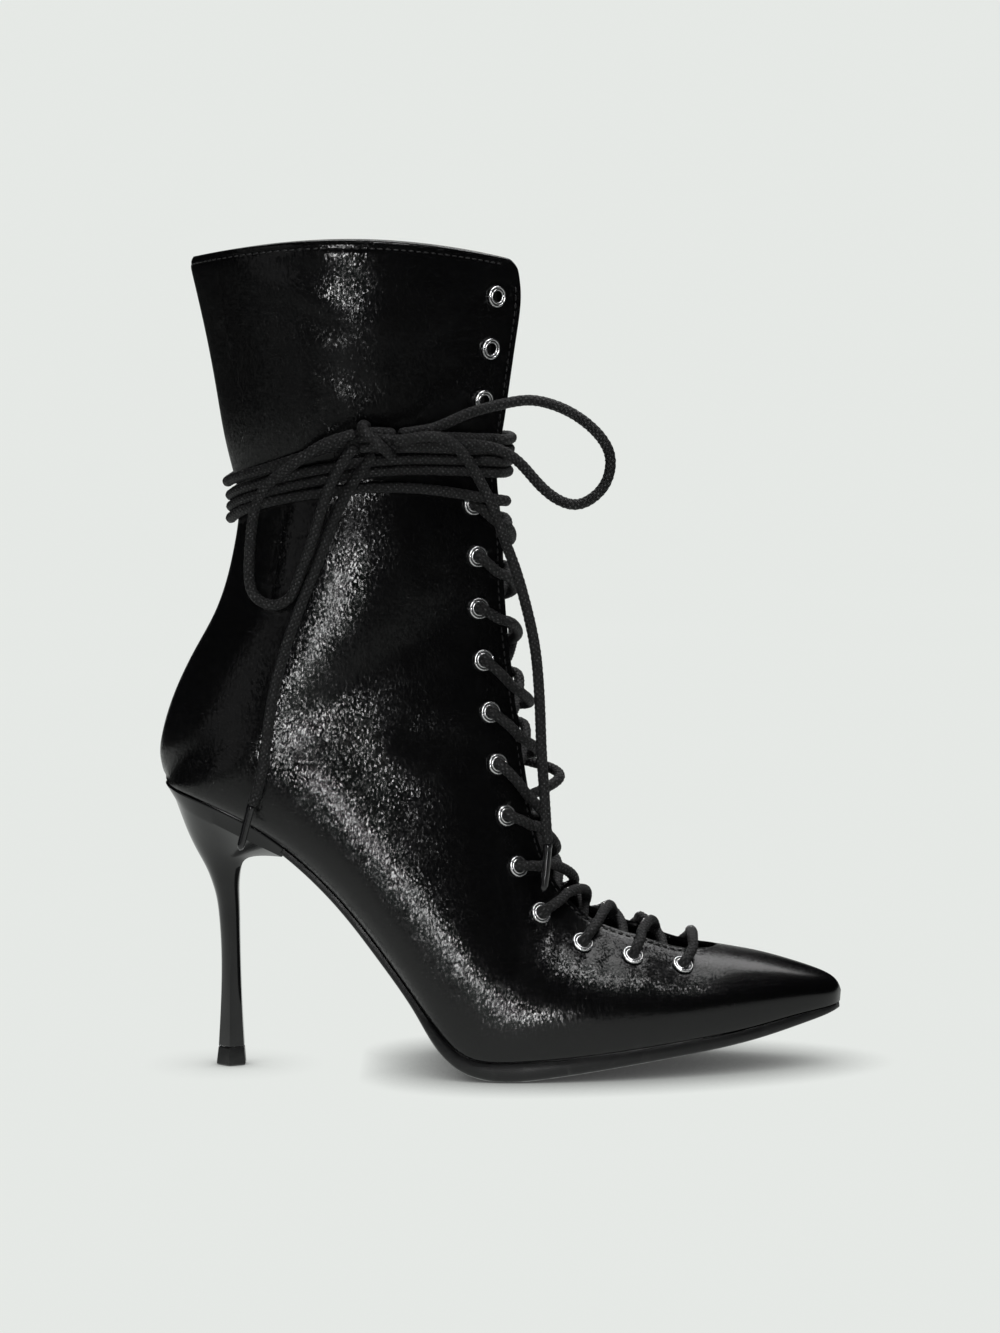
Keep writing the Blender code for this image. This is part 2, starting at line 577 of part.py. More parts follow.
def build_wraps(collection, finish):
    return build_tube("lace_wraps", wrap_points(), LACE_RADIUS, collection, finish, resolution=1)


def settled(route):
    """A route of the bow, drawn in with the leather that it lies on."""
    return [(x, y + wrap_pull(x, z), z) for x, y, z in route]


def build_bow(collection, lace, plastic):
    """The knot over the wraps, its two loops, and its two ends with their aglets."""
    shape = bmesh.new()
    centre = settled([KNOT_CENTRE])[0]
    place = Matrix.Translation(Vector(centre) * MM) @ Matrix.Diagonal((*(Vector(KNOT_RADII) * MM), 1))
    bmesh.ops.create_uvsphere(shape, u_segments=8, v_segments=6, radius=1, matrix=place)
    mesh = bpy.data.meshes.new("lace_knot")
    shape.to_mesh(mesh)
    shape.free()
    mesh.shade_smooth()
    knot = add_object("lace_knot", mesh, collection, lace)
    pieces = [knot]
    for name, route, count in (("lace_loop_front", FRONT_LOOP, 21), ("lace_loop_rear", REAR_LOOP, 18),
                               ("lace_end_front", FRONT_END, 17), ("lace_end_rear", REAR_END, 15)):
        pieces.append(build_tube(name, smooth_route(settled(route), count), LACE_RADIUS, collection, lace))
    for name, route in (("aglet_front", FRONT_AGLET), ("aglet_rear", REAR_AGLET)):
        pieces.append(build_tube(name, smooth_route(settled(route), 4), AGLET_RADIUS, collection, plastic))
    return pieces


def stand_on_origin(collection, cutters, free):
    """Parent everything to an empty that puts the footprint's middle, without the bow, at the origin."""
    bpy.context.view_layer.update()
    graph = bpy.context.evaluated_depsgraph_get()
    corners = []
    for piece in collection.objects:
        if piece not in free:
            mesh = piece.evaluated_get(graph).to_mesh()
            corners += [piece.matrix_world @ vert.co for vert in mesh.vertices]
    low, high = np.min(corners, axis=0), np.max(corners, axis=0)
    origin = bpy.data.objects.new("boot_origin", None)
    for piece in list(collection.objects) + list(cutters.objects):
        piece.parent = origin
    collection.objects.link(origin)
    origin.location = (-(low[0] + high[0]) / 2, -(low[1] + high[1]) / 2, -low[2])


def main():
    for leftover in list(bpy.data.objects):
        bpy.data.objects.remove(leftover)
    boot = bpy.data.collections.new("lace_up_boot")
    cutters = bpy.data.collections.new("cutters")
    for collection in (boot, cutters):
        bpy.context.scene.collection.children.link(collection)
    leather = material("black_leather", (0.012, 0.012, 0.013), 0.28)
    rubber = material("black_sole", (0.02, 0.02, 0.021), 0.55)
    lacquer = material("black_lacquer", (0.008, 0.008, 0.009), 0.12)
    lining = material("black_lining", (0.025, 0.024, 0.024), 0.7)
    steel = material("polished_steel", (0.72, 0.72, 0.74), 0.18, 1.0)
    lace = material("waxed_lace", (0.018, 0.018, 0.019), 0.6)
    plastic = material("aglet_plastic", (0.03, 0.03, 0.032), 0.2)

    places = eyelet_places()
    build_upper(boot, build_hole_cutter(cutters, places), leather)
    build_outsole(boot, rubber)
    build_insole(boot, lining)
    build_heel(boot, lacquer)
    build_heel_lift(boot, rubber)
    build_eyelets(boot, places, steel)
    build_lacing(boot, places, lace)
    build_wraps(boot, lace)
    bow = build_bow(boot, lace, plastic)
    stand_on_origin(boot, cutters, bow)


main()
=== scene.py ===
# Lace-up boot with a stiletto heel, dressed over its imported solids
import json
import math

import bmesh
import bpy
import numpy as np
from mathutils import Matrix, Vector

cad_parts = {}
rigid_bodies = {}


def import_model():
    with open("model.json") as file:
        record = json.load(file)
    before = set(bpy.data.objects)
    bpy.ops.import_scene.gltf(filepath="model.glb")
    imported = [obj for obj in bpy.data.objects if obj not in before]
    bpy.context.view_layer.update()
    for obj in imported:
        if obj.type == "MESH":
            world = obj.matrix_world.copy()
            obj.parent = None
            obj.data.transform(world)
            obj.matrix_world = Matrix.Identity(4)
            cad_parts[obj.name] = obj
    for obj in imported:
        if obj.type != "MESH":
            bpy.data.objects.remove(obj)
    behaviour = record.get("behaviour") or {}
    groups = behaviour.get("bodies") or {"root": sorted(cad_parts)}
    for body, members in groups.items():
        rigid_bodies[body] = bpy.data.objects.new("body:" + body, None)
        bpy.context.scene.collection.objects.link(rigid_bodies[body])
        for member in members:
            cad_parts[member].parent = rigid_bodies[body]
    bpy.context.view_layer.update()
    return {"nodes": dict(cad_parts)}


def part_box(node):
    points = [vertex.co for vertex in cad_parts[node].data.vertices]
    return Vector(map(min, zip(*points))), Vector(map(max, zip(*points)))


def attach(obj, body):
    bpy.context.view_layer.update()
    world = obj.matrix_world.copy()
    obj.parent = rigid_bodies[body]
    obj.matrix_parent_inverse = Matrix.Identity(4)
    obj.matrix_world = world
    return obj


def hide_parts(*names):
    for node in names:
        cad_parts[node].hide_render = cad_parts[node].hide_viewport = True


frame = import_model()
mm = 0.001
lateral, medial = -1, 1
print("frame:", len(frame["nodes"]), "solids")

# The last: sections from the toe tip to the collar, in millimetres.
# Each joins a point of the front line (toe ridge, then throat edge) to one of the base line
last = {
    "columns": "frontX frontZ baseX baseZ half feather widest nose tail sole swing crown".split(),
    "sections": (
        (234.9, 24.6, 234.6, 20.9, 0.0, 0.94, 0.36, 0.50, 0.50, 1.6, 6.5, 0),  # toe tip
        (233.4, 28.0, 232.6, 20.7, 5.2, 0.94, 0.36, 0.50, 0.50, 1.9, 6.3, 0),
        (229.0, 31.2, 227.6, 20.1, 10.4, 0.94, 0.36, 0.50, 0.50, 2.8, 5.8, 0),
        (219.5, 34.7, 217.0, 18.6, 16.6, 0.94, 0.35, 0.50, 0.50, 4.0, 4.9, 0),
        (206.0, 38.6, 202.0, 15.7, 23.2, 0.94, 0.33, 0.52, 0.50, 4.7, 3.6, 0),
        (191.8, 41.4, 184.5, 13.2, 29.2, 0.94, 0.31, 0.58, 0.50, 5.2, 2.4, 0),  # throat end
        (176.5, 44.4, 166.5, 11.0, 33.8, 0.94, 0.29, 0.72, 0.50, 5.6, 1.4, 0),
        (162.0, 47.6, 148.5, 9.0, 37.0, 0.94, 0.28, 0.82, 0.50, 6.2, 0.6, 0),
        (149.8, 52.0, 131.0, 7.6, 38.6, 0.94, 0.27, 0.86, 0.50, 7.2, 0.1, 0),  # ball
        (140.6, 58.8, 116.5, 6.9, 38.4, 0.935, 0.24, 0.87, 0.50, 7.4, -0.3, 0),
        (134.2, 68.0, 105.5, 8.4, 37.2, 0.905, 0.21, 0.87, 0.50, 6.0, -0.6, 0),  # instep
        (129.6, 79.5, 97.0, 15.0, 35.8, 0.845, 0.18, 0.87, 0.50, 4.4, -0.8, 0),
        (126.6, 92.5, 88.5, 26.2, 34.5, 0.763, 0.16, 0.87, 0.50, 2.9, -0.9, 0),
        (124.4, 106.5, 77.5, 41.3, 33.3, 0.69, 0.15, 0.87, 0.50, 2.8, -0.9, 0),  # waist
        (122.5, 121.0, 64.5, 57.8, 32.4, 0.66, 0.15, 0.88, 0.50, 2.7, -0.7, 0),
        (120.8, 134.5, 50.0, 72.6, 31.8, 0.665, 0.15, 0.89, 0.50, 2.6, -0.5, 0),  # breast
        (119.5, 146.0, 35.0, 84.2, 31.4, 0.70, 0.16, 0.90, 0.50, 2.6, -0.3, 0),
        (118.6, 155.5, 20.0, 92.0, 31.2, 0.715, 0.2, 0.92, 0.50, 2.6, -0.1, 0),  # seat
        (118.1, 163.0, 8.0, 96.9, 31.1, 0.72, 0.26, 0.93, 0.50, 2.6, 0, 0),
        (117.8, 169.0, 1.6, 100.6, 31.0, 0.72, 0.33, 0.94, 0.50, 2.6, 0, 0),  # heel closes
        (117.7, 175.0, -0.6, 107.0, 31.0, 0.72, 0.39, 0.95, 0.50, 2.6, 0, 0),
        (117.6, 181.5, 0.4, 115.5, 30.9, 0.72, 0.43, 0.96, 0.51, 2.6, 0, 0),  # heel back
        (117.6, 189.0, 4.4, 128.5, 30.6, 0.72, 0.455, 0.97, 0.53, 2.6, 0, 0),
        (117.7, 197.5, 11.4, 143.5, 30.2, 0.72, 0.46, 0.98, 0.56, 2.6, 0, 0),
        (118.0, 207.0, 18.4, 156.5, 29.9, 0.72, 0.45, 0.99, 0.59, 2.6, 0, 0),  # ankle
        (118.5, 217.5, 23.2, 171.0, 30.0, 0.72, 0.44, 1.00, 0.60, 2.6, 0, 0),
        (119.2, 229.0, 24.8, 188.0, 30.6, 0.72, 0.43, 1.00, 0.61, 2.6, 0, 0),
        (120.6, 241.0, 23.0, 208.0, 32.0, 0.72, 0.43, 1.00, 0.62, 2.6, 0, 0.4),
        (122.4, 253.5, 19.8, 231.0, 34.2, 0.72, 0.44, 1.00, 0.62, 2.6, 0, 1.4),
        (123.6, 265.5, 15.6, 254.0, 36.8, 0.72, 0.455, 1.00, 0.62, 2.6, 0, 3.4),
        (122.2, 277.0, 10.2, 277.8, 39.0, 0.72, 0.47, 1.00, 0.62, 2.6, 0, 6.4),  # collar
    ),
    "throatEnd": 5.0, "throatFull": 7.0, "collar": 30.0,
    "throatHalf": 14.0, "collarHalf": 9.5,
    "breast": 15.35, "heelRound": 16.0, "heelClose": 19.0,
    "wrapPull": 2.5, "wrapBand": 16.0, "wrapBack": 195.5, "wrapFront": 206.0,
    "shaftBack": 24.0, "shaftFront": 118.0,
    "liftBack": 18.5,  # back of the top lift, which places these lines in the frame
}
originX = last["liftBack"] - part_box("heel_lift")[0].x / mm


class SmoothTable:
    def __init__(self, rows):
        self.rows = np.array(rows, float)
        count = len(self.rows)
        system = np.eye(count)
        right = np.zeros_like(self.rows)
        for i in range(1, count - 1):
            system[i, i - 1:i + 2] = 1, 4, 1
            right[i] = 6 * (self.rows[i - 1] - 2 * self.rows[i] + self.rows[i + 1])
        self.bends = np.linalg.solve(system, right)

    def at(self, s):
        s = np.asarray(s, float)
        i = np.clip(s.astype(int), 0, len(self.rows) - 2)
        t = (s - i)[..., None]
        r = 1 - t
        bend = (r ** 3 - r) * self.bends[i] + (t ** 3 - t) * self.bends[i + 1]
        return r * self.rows[i] + t * self.rows[i + 1] + bend / 6


lastLines = SmoothTable(last["sections"])


def sectionAt(s):
    return dict(zip(last["columns"], np.moveaxis(lastLines.at(s), -1, 0)))


def quarterRise(s, start, end):
    u = np.clip((s - start) / (end - start), 0, 1)
    return np.sqrt(1 - (1 - u) ** 2)


def throatHalf(s):
    share = np.clip((s - last["throatFull"]) / (last["collar"] - last["throatFull"]), 0, 1)
    half = last["throatHalf"] + (last["collarHalf"] - last["throatHalf"]) * share
    return half * quarterRise(s, last["throatEnd"], last["throatFull"])


def featherHalf(s):
    row = sectionAt(s)
    closing = quarterRise(-s, -last["heelClose"], -last["heelRound"])
    return np.maximum(row["half"], 0) * row["feather"] * closing


def wrapPull(x, z):
    share = np.clip((x - last["shaftBack"]) / (last["shaftFront"] - last["shaftBack"]), 0, 1)
    level = last["wrapBack"] + (last["wrapFront"] - last["wrapBack"]) * np.sqrt(share)
    return last["wrapPull"] * np.exp(-((z - level) / last["wrapBand"]) ** 2)


def unit(v):
    return v / np.maximum(np.linalg.norm(v, axis=-1, keepdims=True), 1e-9)


# Length run from the first point to each
def runAlong(points):
    return np.concatenate(([0], np.cumsum(np.linalg.norm(np.diff(points, axis=0), axis=1))))


def evenTurns(count):
    return 2 * math.pi * np.arange(count) / count


# Outer skin: a is -1 at the base line, 0 at the widest line, 1 at the front line
def skin(s, side, a):
    s, a = np.broadcast_arrays(np.asarray(s, float), np.asarray(a, float))
    row = sectionAt(s)
    front = a >= 0
    inner = np.where(front, throatHalf(s), featherHalf(s))
    power = np.where(front, row["nose"], row["tail"])
    v = np.abs(a)
    t = 2 * (1 - power) * np.sin(v * math.pi / 2) + (2 * power - 1) * v
    half = np.maximum(row["half"], inner)
    reach = inner + (half - inner) * np.maximum(1 - t * t, 0) ** power
    # near its end the throat is cut out of the closed dome of the toe
    cut = t * np.sqrt(1 - np.minimum(inner / np.maximum(half, 1e-6), 1) ** (1 / power))
    closed = np.clip((last["throatFull"] - s) / (last["throatFull"] - last["throatEnd"]), 0, 1)
    dome = np.where(front, closed * closed * (3 - 2 * closed), 0)
    reach = reach + dome * (half * np.maximum(1 - cut * cut, 0) ** power - reach)
    t = t + dome * (cut - t)
    up = np.where(front, row["widest"] + (1 - row["widest"]) * t, row["widest"] * (1 - t))
    x = row["baseX"] + (row["frontX"] - row["baseX"]) * up
    z = row["baseZ"] + (row["frontZ"] - row["baseZ"]) * up + row["crown"] * 4 * up * (1 - up)
    point = np.stack((x, row["swing"] + side * reach, z), -1)
    middle = (last["shaftBack"] + last["shaftFront"]) / 2
    out = point - np.stack((np.full_like(z, middle), np.zeros_like(z), z), -1)
    far = np.maximum(np.linalg.norm(out, axis=-1, keepdims=True), 1)
    return point - out / far * wrapPull(x, z)[..., None]


probe = {"skin": 0.02, "base": 0.05}  # steps to either side over which a slope is taken


def skinNormal(s, side, a):
    s, a = np.broadcast_arrays(np.asarray(s, float), np.asarray(a, float))
    step = probe["skin"]
    along = skin(np.minimum(s + step, last["collar"]), side, a) - skin(np.maximum(s - step, 0), side, a)
    around = skin(s, side, np.minimum(a + step, 1)) - skin(s, side, np.maximum(a - step, -1))
    return unit(np.cross(along, around) * side)


def overSkin(s, side, a, height):
    return skin(s, side, a) + skinNormal(s, side, a) * height


def throatFront(s):
    return unit(skinNormal(s, lateral, 1) + skinNormal(s, medial, 1))


def overEdge(s, side, height):
    return skin(s, side, 1) + unit(skinNormal(s, side, 1) + throatFront(s)) * height


def baseFrame(s):
    row, before, after = sectionAt(s), sectionAt(max(s - probe["base"], 0)), sectionAt(s + probe["base"])
    run = np.array((after["baseX"] - before["baseX"], 0, after["baseZ"] - before["baseZ"]))
    up = np.cross(run / np.linalg.norm(run), (0, 1, 0))
    return np.array((row["baseX"], row["swing"], row["baseZ"])), up * np.sign(up[2])


def settled(route):
    return np.array([(x, y + wrapPull(x, z), z) for x, y, z in route])


def toWorld(points):
    return (np.asarray(points, float) - (originX, 0, 0)) * mm


# Share round the section of a point at this distance from the throat edge
def insetFromEdge(s, side, distance):
    a = np.linspace(1, -0.6, 161)  # from the edge to well past the widest line
    return float(np.interp(distance, runAlong(skin(s, side, a)), a))


# Meshes
def newPiece(name, verts, faces, *finishes):
    mesh = bpy.data.meshes.new(name)
    mesh.from_pydata([tuple(v) for v in verts], [], faces)
    mesh.update()
    mesh.shade_smooth()
    for finish in finishes:
        mesh.materials.append(finish)
    piece = bpy.data.objects.new(name, mesh)
    bpy.context.scene.collection.objects.link(piece)
    return piece


def dress(piece, slot, *nodes):
    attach(piece, "root")
    if nodes:
        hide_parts(*nodes)
    return piece


weldDistance = 1e-6


def faceOutwards(piece, weld):
    shape = bmesh.new()
    shape.from_mesh(piece.data)
    if weld:
        bmesh.ops.remove_doubles(shape, verts=shape.verts, dist=weldDistance)
    bmesh.ops.recalc_face_normals(shape, faces=shape.faces)
    shape.to_mesh(piece.data)
    shape.free()


# Quads between closed rings that follow each other in the list of points
def ringFaces(first, rings, count):
    return [(first + i * count + j, first + i * count + (j + 1) % count,
             first + (i + 1) * count + (j + 1) % count, first + (i + 1) * count + j)
            for i in range(rings - 1) for j in range(count)]


# Skin through closed rings with equal counts of points, with closed ends.
# A curved first end is closed by strips from side to side, of a ring made by bothHalves
def loftPiece(name, rings, finish, sharpAngle, curvedEnd=False):
    rings = [toWorld(ring) for ring in rings]
    count = len(rings[0])
    faces = ringFaces(0, len(rings), count)
    if curvedEnd:
        tip = count // 2
        faces += [(j, count - 1 - j, count - 2 - j, j + 1) for j in range(tip - 1)]
        faces.append((tip - 1, tip + 1, tip))
    else:
        faces.append(tuple(range(count))[::-1])
    faces.append(tuple(range((len(rings) - 1) * count, len(rings) * count)))
    piece = newPiece(name, np.concatenate(rings), faces, finish)
    faceOutwards(piece, True)
    piece.data.set_sharp_from_angle(angle=math.radians(sharpAngle))
    return piece


# Camera at the photograph's place
cameraSetup = {"place": (-0.0006, -1.6, 0.300), "pitch": 5.78, "lens": 126.5, "sensor": 36}
cameraData = bpy.data.cameras.new("camera")
cameraData.lens = cameraSetup["lens"]
cameraData.sensor_width = cameraSetup["sensor"]
camera = bpy.data.objects.new("camera", cameraData)
camera.location = cameraSetup["place"]
camera.rotation_euler = (math.radians(90 - cameraSetup["pitch"]), 0, 0)
bpy.context.scene.collection.objects.link(camera)
bpy.context.scene.camera = camera
print("camera placed")


# Shader helpers
def addNode(tree, kind, inputs=None, **settings):
    node = tree.nodes.new(kind)
    for name, value in settings.items():
        setattr(node, name, value)
    for name, value in (inputs or {}).items():
        if isinstance(value, bpy.types.NodeSocket):
            tree.links.new(value, node.inputs[name])
        else:
            node.inputs[name].default_value = value
    return node


def maths(tree, operation, a, b=0.0, clamp=False):
    return addNode(tree, "ShaderNodeMath", {0: a, 1: b}, operation=operation, use_clamp=clamp).outputs[0]


def remap(tree, value, fromLow, fromHigh, toLow, toHigh):
    node = addNode(tree, "ShaderNodeMapRange", {"Value": value, "From Min": fromLow, "From Max": fromHigh,
                                                "To Min": toLow, "To Max": toHigh})
    return node.outputs["Result"]


def vectors(tree, operation, a, b=(0, 0, 0)):
    return addNode(tree, "ShaderNodeVectorMath", {0: a, 1: b}, operation=operation).outputs


def noise(tree, spot, scale, detail=2.0, roughness=0.5, distortion=0.0):
    node = addNode(tree, "ShaderNodeTexNoise", {"Vector": spot, "Scale": scale, "Detail": detail,
                                                "Roughness": roughness, "Distortion": distortion})
    return node.outputs["Fac"]


def partsOf(tree, vector):
    return addNode(tree, "ShaderNodeSeparateXYZ", {0: vector}).outputs


def facingUp(tree):
    return partsOf(tree, addNode(tree, "ShaderNodeNewGeometry").outputs["Normal"])["Z"]


def newGroup(name, inputs, outputs):
    tree = bpy.data.node_groups.new(name, "ShaderNodeTree")
    for socketName, kind, value in inputs:
        socket = tree.interface.new_socket(socketName, in_out="INPUT", socket_type=kind)
        if value is not None:
            socket.default_value = value
    for socketName, kind in outputs:
        tree.interface.new_socket(socketName, in_out="OUTPUT", socket_type=kind)
    return tree, tree.nodes.new("NodeGroupInput").outputs, tree.nodes.new("NodeGroupOutput").inputs


def useGroup(tree, group, inputs):
    return addNode(tree, "ShaderNodeGroup", inputs, node_tree=group).outputs


# Crinkled grain: small facets drawn out upright, each tilted its own way, over a softer unevenness
grainShape = {"streakScale": 0.62, "streakShare": 0.6, "softScale": 90.0}


def makeCrinkleGrain():
    tree, given, result = newGroup(
        "crinkleGrain",
        [("Vector", "NodeSocketVector", None), ("Grain Size", "NodeSocketFloat", 0.0008),
         ("Stretch", "NodeSocketFloat", 2.0), ("Streak", "NodeSocketFloat", 1.0),
         ("Unevenness", "NodeSocketFloat", 0.5)],
        [("Height", "NodeSocketFloat"), ("Mottle", "NodeSocketFloat")])
    perGrain = maths(tree, "DIVIDE", 1.0, given["Grain Size"])
    upright = maths(tree, "DIVIDE", perGrain, given["Stretch"])
    scale = addNode(tree, "ShaderNodeCombineXYZ", {"X": perGrain, "Y": perGrain, "Z": upright}).outputs[0]
    spot = vectors(tree, "MULTIPLY", given["Vector"], scale)[0]
    streaks = noise(tree, spot, grainShape["streakScale"], roughness=0.55, distortion=0.6)
    cells = addNode(tree, "ShaderNodeTexVoronoi", {"Vector": spot, "Scale": 1.0, "Randomness": 1.0}).outputs
    away = vectors(tree, "SUBTRACT", spot, cells["Position"])[0]
    tilt = vectors(tree, "SUBTRACT", cells["Color"], (0.5, 0.5, 0.5))[0]
    facets = vectors(tree, "DOT_PRODUCT", away, tilt)["Value"]
    soft = noise(tree, given["Vector"], grainShape["softScale"])
    fine = maths(tree, "ADD", maths(tree, "MULTIPLY", streaks, grainShape["streakShare"]), facets)
    uneven = maths(tree, "MULTIPLY", soft, given["Unevenness"])
    height = maths(tree, "ADD", maths(tree, "MULTIPLY", fine, given["Streak"]), uneven)
    tree.links.new(height, result["Height"])
    tree.links.new(soft, result["Mottle"])
    return tree


# Light handling marks: thin scuffs and a film of dust on what faces up
dustShape = {"facing": (0.2, 1.0), "speckScale": 700.0, "specks": (0.4, 0.7)}


def makeHandling():
    tree, given, result = newGroup(
        "handling",
        [("Vector", "NodeSocketVector", None), ("Scuff Scale", "NodeSocketFloat", 60.0),
         ("Scuffs", "NodeSocketFloat", 0.5), ("Dust", "NodeSocketFloat", 0.3)],
        [("Scuff", "NodeSocketFloat"), ("Dust", "NodeSocketFloat")])
    streak = noise(tree, given["Vector"], given["Scuff Scale"], detail=6.0, roughness=0.7, distortion=1.2)
    scuff = remap(tree, streak, 0.55, 0.75, 0, 1)
    tree.links.new(maths(tree, "MULTIPLY", scuff, given["Scuffs"]), result["Scuff"])
    specks = remap(tree, noise(tree, given["Vector"], dustShape["speckScale"]), *dustShape["specks"], 0.2, 1)
    film = maths(tree, "MULTIPLY", remap(tree, facingUp(tree), *dustShape["facing"], 0, 1), specks)
    tree.links.new(maths(tree, "MULTIPLY", film, given["Dust"]), result["Dust"])
    return tree


crinkleGrain = makeCrinkleGrain()
handling = makeHandling()


def newFinish(name, **plain):
    finish = bpy.data.materials.new(name)
    finish.use_nodes = True
    tree = finish.node_tree
    shader = tree.nodes["Principled BSDF"]
    for socket, value in plain.items():
        shader.inputs[socket.replace("_", " ")].default_value = value
    spot = addNode(tree, "ShaderNodeTexCoord").outputs["Object"]
    return finish, tree, shader, spot


def wire(tree, shader, **sources):
    for socket, source in sources.items():
        tree.links.new(source, shader.inputs[socket.replace("_", " ")])


def blend(tree, share, low, high):
    node = addNode(tree, "ShaderNodeMix", {"Factor": share}, data_type="RGBA")
    for index, colour in ((6, low), (7, high)):
        if isinstance(colour, bpy.types.NodeSocket):
            tree.links.new(colour, node.inputs[index])
        else:
            node.inputs[index].default_value = (*colour, 1)
    return node.outputs[2]


def bump(tree, height, strength, distance):
    return addNode(tree, "ShaderNodeBump", {"Height": height, "Strength": strength,
                                            "Distance": distance}).outputs["Normal"]


# A look's colours are clean and worn, or for the lace black and a painted highlight, its bump strength and
# depth in metres.
# Its grain is size in metres, stretch, streak and unevenness, its marks are scuff scale, scuffs and dust
def grainOn(tree, spot, look):
    names = ("Grain Size", "Stretch", "Streak", "Unevenness")
    return useGroup(tree, crinkleGrain, {"Vector": spot, **dict(zip(names, look["grain"]))})


def marksOn(tree, spot, look):
    names = ("Scuff Scale", "Scuffs", "Dust")
    return useGroup(tree, handling, {"Vector": spot, **dict(zip(names, look["marks"]))})


def mottled(tree, grain, low, high):
    return remap(tree, grain["Mottle"], 0.3, 0.7, low, high)


def scuffRoughness(tree, marks, look):
    fullScuff = look["marks"][1]
    return remap(tree, marks["Scuff"], 0, fullScuff, *look["roughness"])


leatherLook = {"colours": ((0.0018, 0.0018, 0.002), (0.005, 0.005, 0.0055)),
               "grain": (0.00046, 1.9, 1.0, 0.5), "marks": (55.0, 0.5, 0.25), "bump": (1.0, 0.00008),
               "roughness": (0.16, 0.22), "scuffed": 0.08}


def makeLeather():
    finish, tree, shader, spot = newFinish("crinkled_black_leather", Specular_IOR_Level=0.5)
    grain, marks = grainOn(tree, spot, leatherLook), marksOn(tree, spot, leatherLook)
    share = addNode(tree, "ShaderNodeAttribute", attribute_name="grainShare").outputs["Fac"]
    height = maths(tree, "MULTIPLY", grain["Height"], share)
    worn = maths(tree, "ADD", marks["Scuff"], marks["Dust"], clamp=True)
    scuffed = maths(tree, "MULTIPLY", marks["Scuff"], leatherLook["scuffed"])
    wire(tree, shader, Normal=bump(tree, height, *leatherLook["bump"]),
         Base_Color=blend(tree, worn, *leatherLook["colours"]),
         Roughness=maths(tree, "ADD", mottled(tree, grain, *leatherLook["roughness"]), scuffed))
    return finish


liningLook = {"colours": ((0.012, 0.012, 0.0125), (0.03, 0.029, 0.028)), "grain": (0.0006, 1.0, 0.6, 0.4),
              "marks": (35.0, 0.8, 0.5), "bump": (0.4, 0.0002), "roughness": (0.62, 0.8)}


def makeLining():
    finish, tree, shader, spot = newFinish("matte_lining", Specular_IOR_Level=0.3)
    grain, marks = grainOn(tree, spot, liningLook), marksOn(tree, spot, liningLook)
    wire(tree, shader, Normal=bump(tree, grain["Height"], *liningLook["bump"]),
         Base_Color=blend(tree, marks["Scuff"], *liningLook["colours"]),
         Roughness=mottled(tree, grain, *liningLook["roughness"]))
    return finish


lacquerLook = {"colours": ((0.004, 0.004, 0.0045), (0.02, 0.02, 0.021)), "grain": (0.004, 1.5, 0.3, 0.3),
               "marks": (120.0, 0.4, 0.3), "bump": (0.08, 0.0004), "roughness": (0.14, 0.24),
               "coat": (0.15, 0.3)}


def makeLacquer():
    finish, tree, shader, spot = newFinish("black_lacquer", Coat_Roughness=0.06)
    grain, marks = grainOn(tree, spot, lacquerLook), marksOn(tree, spot, lacquerLook)
    wire(tree, shader, Normal=bump(tree, grain["Height"], *lacquerLook["bump"]),
         Base_Color=blend(tree, marks["Dust"], *lacquerLook["colours"]),
         Roughness=scuffRoughness(tree, marks, lacquerLook),
         Coat_Weight=mottled(tree, grain, *lacquerLook["coat"]))
    return finish


soleLook = {"colours": ((0.008, 0.008, 0.0085), (0.03, 0.03, 0.03)), "grain": (0.0009, 1.0, 0.6, 0.5),
            "marks": (70.0, 0.9, 0.4), "bump": (0.35, 0.00025), "roughness": (0.34, 0.48),
            "ribScale": 95.0, "ribHeight": 3.0, "underside": (-0.95, -0.75)}


def makeSoleRubber():
    finish, tree, shader, spot = newFinish("satin_sole", Specular_IOR_Level=0.45)
    grain, marks = grainOn(tree, spot, soleLook), marksOn(tree, spot, soleLook)
    # fine diagonal tread, seen on what faces the floor
    under = remap(tree, facingUp(tree), *soleLook["underside"], 1, 0)
    wave = {"Vector": spot, "Scale": soleLook["ribScale"], "Distortion": 0.0}
    ribs = addNode(tree, "ShaderNodeTexWave", wave, bands_direction="DIAGONAL").outputs["Fac"]
    tread = maths(tree, "MULTIPLY", ribs, maths(tree, "MULTIPLY", under, soleLook["ribHeight"]))
    wire(tree, shader, Normal=bump(tree, maths(tree, "ADD", grain["Height"], tread), *soleLook["bump"]),
         Base_Color=blend(tree, marks["Scuff"], *soleLook["colours"]),
         Roughness=mottled(tree, grain, *soleLook["roughness"]))
    return finish


# the dark steel colour is a painted shade, laid in the groove and down the bore
steelLook = {"colours": ((0.94, 0.94, 0.95), (0.8, 0.8, 0.82)), "paintedShade": (0.02, 0.02, 0.02),
             "grain": (0.0006, 1.0, 0.4, 0.0), "marks": (900.0, 0.8, 0.2), "bump": (0.05, 0.0001),
             "roughness": (0.22, 0.45), "groove": 2.74, "grooveFade": (0.08, 0.2), "boreFade": (1.94, 2.02)}


